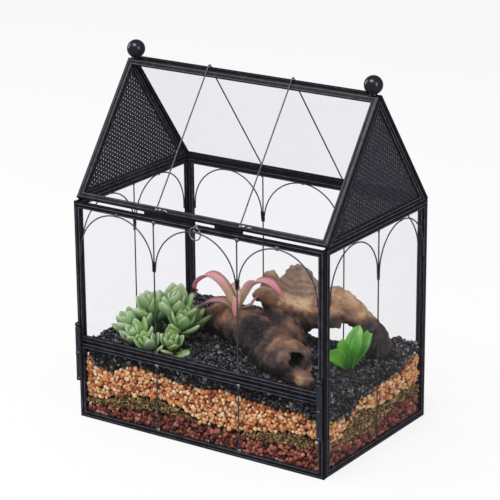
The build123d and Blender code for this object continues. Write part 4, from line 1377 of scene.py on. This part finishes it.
def rosette_leaves(x, y, z, radius, count, lean, rng):
    """Leaves of one rosette from the outside in, each a golden angle further round."""
    shapes, shares = [], []
    for index in range(count):
        inner = index / (count - 1)
        length = radius * (1.0 - 0.3 * inner) * rng.uniform(0.88, 1.1)
        rise = np.radians(30 + 50 * inner ** 0.7 + rng.uniform(-8, 8))
        points, faces, share = plump_leaf(length, length * 0.52, length * 0.22,
                                          rng.uniform(0.15, 0.4))
        turn = index * 2.39996 + rng.uniform(-0.2, 0.2)
        heart = np.array([x, y, z]) + np.array([*lean, 1.0]) * 4 * inner
        shapes.append((turned_up(points, rise, turn, (*lean, 1.0), heart), faces))
        shares.append(share)
    return shapes, shares


def leaf_green(name, base, body, tip, vein, rough, fresh):
    """Plant skin: colour runs from root to tip along each leaf, with cloudy bloom and light that
    soaks in."""
    material, tree, place = start_material(name)
    along = add_node(tree, "Attribute", attribute_name="across")
    cloud = add_node(tree, "TexNoise", {"Vector": place, "Scale": 160.0, "Detail": 4.0})
    shift = add_node(tree, "Math", {0: cloud, 1: 0.4, 2: -0.2}, operation="MULTIPLY_ADD")
    mixed = add_node(tree, "Math", {0: along.outputs["Fac"], 1: shift}, operation="ADD",
                     use_clamp=True)
    stops = ((0.0, base), (0.35, body), (0.8, tip), (1.0, vein))
    colours = add_node(tree, "ValToRGB", {0: mixed}, stops)
    patches = add_node(tree, "TexNoise", {"Vector": place, "Scale": 38.0, "Detail": 2.0})
    young = add_node(tree, "MapRange", {"Value": patches, 1: 0.5, 2: 0.68, 3: 0.0, 4: 0.55})
    colour = add_node(tree, "Mix", {0: young, 6: colours, 7: linear(fresh)}, data_type="RGBA")
    relief = add_node(tree, "Bump", {"Height": cloud, "Strength": 0.25, "Distance": 0.0006})
    skin = add_node(tree, "BsdfPrincipled", {"Base Color": colour, "Roughness": rough,
                                             "Normal": relief, "Subsurface Weight": 0.25,
                                             "Subsurface Radius": (0.003, 0.004, 0.0015)})
    return finished(material, skin)


rng = np.random.default_rng(31)
leaves, shares = [], []
for x, y, z, radius, count, lean in ROSETTES:
    new_leaves, new_shares = rosette_leaves(x, y, z, radius, count, lean, rng)
    leaves += new_leaves
    shares += new_shares
    stalk = tube([(x, y, 64), (x, y, z + 3)], 4.0, 8)
    leaves.append(stalk)
    shares.append(np.zeros(len(stalk[0])))
points, faces = joined(leaves)
points[:, 2] = np.maximum(points[:, 2], soil_height(points[:, 0], points[:, 1]) - 1.0)
points[:, 0] = np.maximum(points[:, 0], 1.5 - INNER_SIDE)
points[:, 1] = np.maximum(points[:, 1], INNER_FRONT + 1.5)
# The dark colour at each leaf's root is painted shade between the crowded leaves
sage = leaf_green("sage_succulent", "#3c6232", "#7a9f66", "#9cbb88", "#c6d6b0", 0.5, "#8fb04c")
add_piece("succulent_rosettes", points, faces, sage, "case", "succulent_leaf", ["succulent"],
          sharp=180, across=np.concatenate(shares))

# Bromeliad: pink strap leaves arching out of a yellow-green heart on top of the log.
# Each strap is folded along its middle and narrows to a drooping point.
STRAPS = (
    # Way of each strap from the heart, and its half width
    (((-4, -12, 101), (-11, -13, 110), (-21, -14, 123), (-33, -14, 127), (-45, -14, 118),
      (-46, -14, 108)), 7.4),
    (((-4, -13, 101), (-16, -15, 107), (-31, -17, 104), (-46, -18, 94)), 6.6),
    (((-3, -12, 102), (5, -13, 116), (15, -14, 129), (28, -14, 132), (37, -14, 128),
      (44, -13, 121)), 7.2),
    (((-2, -14, 102), (-1, -18, 114), (2, -22, 116), (3, -26, 108), (4, -28, 101)), 3.8),
    (((-3, -10, 102), (-2, -6, 114), (-1, 1, 122), (0, 8, 123)), 3.4),
    (((-3, -12, 102), (8, -10, 108), (13, -9, 115), (15, -8, 118)), 3.0),
    (((-5, -9, 102), (-14, 0, 112), (-26, 10, 114), (-38, 18, 104)), 4.4),
)


def strap_leaf(way, wide):
    """Strap along a way: a shallow folded gutter with thickness, narrowed at root and tip."""
    rows = smooth_stations([(*point, 0) for point in way], 26)[:, :3]
    share = np.linspace(0, 1, 26)
    half = wide * (0.45 + 0.55 * np.sin(np.pi * np.minimum(share * 1.4, 0.5)))
    half = np.maximum(half * np.clip((1 - share) / 0.45, 0, 1) ** 0.7, 0.15)
    tangent = np.gradient(rows, axis=0)
    tangent /= np.linalg.norm(tangent, axis=1)[:, None]
    side = np.cross(tangent, (0, 0, 1.0))
    side[:4] = side[4]
    side /= np.linalg.norm(side, axis=1)[:, None]
    up = np.cross(side, tangent)
    spread = np.array([-1, -0.6, -0.25, 0, 0.25, 0.6, 1, 0.6, 0.25, 0, -0.25, -0.6])
    lift = np.abs(spread) ** 1.3 * 0.45
    thick = np.array([0, 0, 0, 0, 0, 0, 0, -1, -1, -1, -1, -1]) * 0.9
    points = (rows[:, None] + side[:, None] * (spread * half[:, None])[..., None]
              + up[:, None] * (lift * half[:, None] + thick * (0.4 + 0.6 * (1 - share))[:, None]
                               )[..., None])
    return (points.reshape(-1, 3), [face[::-1] for face in capped(26, 12)],
            np.repeat(share, 12), np.tile(np.abs(spread), 26))


def pink_strap():
    """Pink strap leaf: yellow-green at the heart, rose beyond it and deeper towards the tip,
    striped along its length."""
    material, tree, place = start_material("pink_strap_leaf")
    along = add_node(tree, "Attribute", attribute_name="across")
    margin = add_node(tree, "Attribute", attribute_name="margin")
    cloud = add_node(tree, "TexNoise", {"Vector": place, "Scale": 220.0, "Detail": 4.0})
    shift = add_node(tree, "Math", {0: cloud, 1: 0.24, 2: -0.12}, operation="MULTIPLY_ADD")
    mixed = add_node(tree, "Math", {0: along.outputs["Fac"], 1: shift}, operation="ADD",
                     use_clamp=True)
    stops = ((0.0, "#9aa25c"), (0.2, "#cfc48c"), (0.38, "#e0a9a2"), (0.7, "#d98795"),
             (1.0, "#b9606e"))
    colours = add_node(tree, "ValToRGB", {0: mixed}, stops)
    stripe = add_node(tree, "Math", {0: margin.outputs["Fac"], 1: 16.0}, operation="MULTIPLY")
    wave = add_node(tree, "Math", {0: stripe}, operation="SINE")
    line = add_node(tree, "MapRange", {"Value": wave, 1: 0.2, 2: 1.0, 3: 0.0, 4: 0.4})
    colour = add_node(tree, "Mix", {0: line, 6: colours, 7: linear("#f0c3c4")}, data_type="RGBA")
    skin = add_node(tree, "BsdfPrincipled", {"Base Color": colour, "Roughness": 0.4,
                                             "Subsurface Weight": 0.2,
                                             "Subsurface Radius": (0.004, 0.0015, 0.0015)})
    return finished(material, skin)


shapes, shares, margins = [], [], []
for way, wide in STRAPS:
    points, faces, share, margin = strap_leaf(way, wide)
    shapes.append((points, faces))
    shares.append(share)
    margins.append(margin)
stem = tube([(-4, -11, 92), (-4, -12, 104)], [4.5, 3.0], 12)
shapes.append(stem)
shares.append(np.zeros(len(stem[0])))
margins.append(np.zeros(len(stem[0])))
add_piece("bromeliad_straps", *joined(shapes), pink_strap(), "case", "pink_leaf", ["bromeliad"],
          sharp=180, across=np.concatenate(shares), margin=np.concatenate(margins))

# Broad leaves in the right corner: one tall blade, and a lower one on each side of it.
# The blades are bright green, ribbed along the middle and darker towards the root.
BLADES = (
    (((105, -8, 65), (104, -7, 78), (104, -2, 90), (104, 8, 103)), 10.5),
    (((105, -10, 65), (102, -15, 76), (99, -22, 84), (96, -33, 88)), 9.5),
    (((105, -8, 65), (106, -1, 76), (107, 9, 86), (107, 21, 96)), 7.5),
    (((105, -9, 66), (102, -12, 80), (101, -13, 90), (101, -13, 97)), 8.0),
)


def broad_blade(way, wide):
    """Broad leaf along a way: widest past the middle, folded a little, with a pointed tip."""
    rows = smooth_stations([(*point, 0) for point in way], 22)[:, :3]
    share = np.linspace(0, 1, 22)
    half = np.maximum(wide * np.sin(np.pi * share ** 1.15) ** 0.8 * (0.25 + 0.75 * share), 0.6)
    half[-3:] = wide * np.array([0.45, 0.28, 0.06])
    tangent = np.gradient(rows, axis=0)
    tangent /= np.linalg.norm(tangent, axis=1)[:, None]
    facing = np.array([0.55, -0.78, 0.3])
    side = np.cross(tangent, facing)
    side /= np.linalg.norm(side, axis=1)[:, None]
    up = np.cross(side, tangent)
    spread = np.array([-1, -0.75, -0.5, -0.25, 0, 0.25, 0.5, 0.75, 1, 0.75, 0.5, 0.25, 0, -0.25,
                       -0.5, -0.75])
    lift = np.abs(spread) * 0.45 + 0.07 * np.sin(spread * 9)
    thick = np.array([0] * 9 + [-1] * 7) * 0.8
    points = (rows[:, None] + side[:, None] * (spread * half[:, None])[..., None]
              + up[:, None] * (lift * half[:, None] + thick)[..., None])
    return (points.reshape(-1, 3), [face[::-1] for face in capped(22, 16)],
            np.repeat(share, 16))


shapes, shares = [], []
for way, wide in BLADES:
    points, faces, share = broad_blade(way, wide)
    shapes.append((points, faces))
    shares.append(share)
stem = tube([(105, -10, 62), (105, -10, 68)], [3.0, 2.2], 10)
points, faces = joined(shapes + [stem])
points[:, 0] = np.minimum(points[:, 0], INNER_SIDE - 1.0)
bright_green = leaf_green("bright_green_leaf", "#1f470e", "#327a18", "#4a9628", "#86b860", 0.3,
                          "#7cbf3a")
add_piece("broad_green_leaves", points, faces, bright_green, "case", "green_leaf",
          ["leaf_cluster"], sharp=180, across=np.concatenate(shares + [np.zeros(len(stem[0]))]))
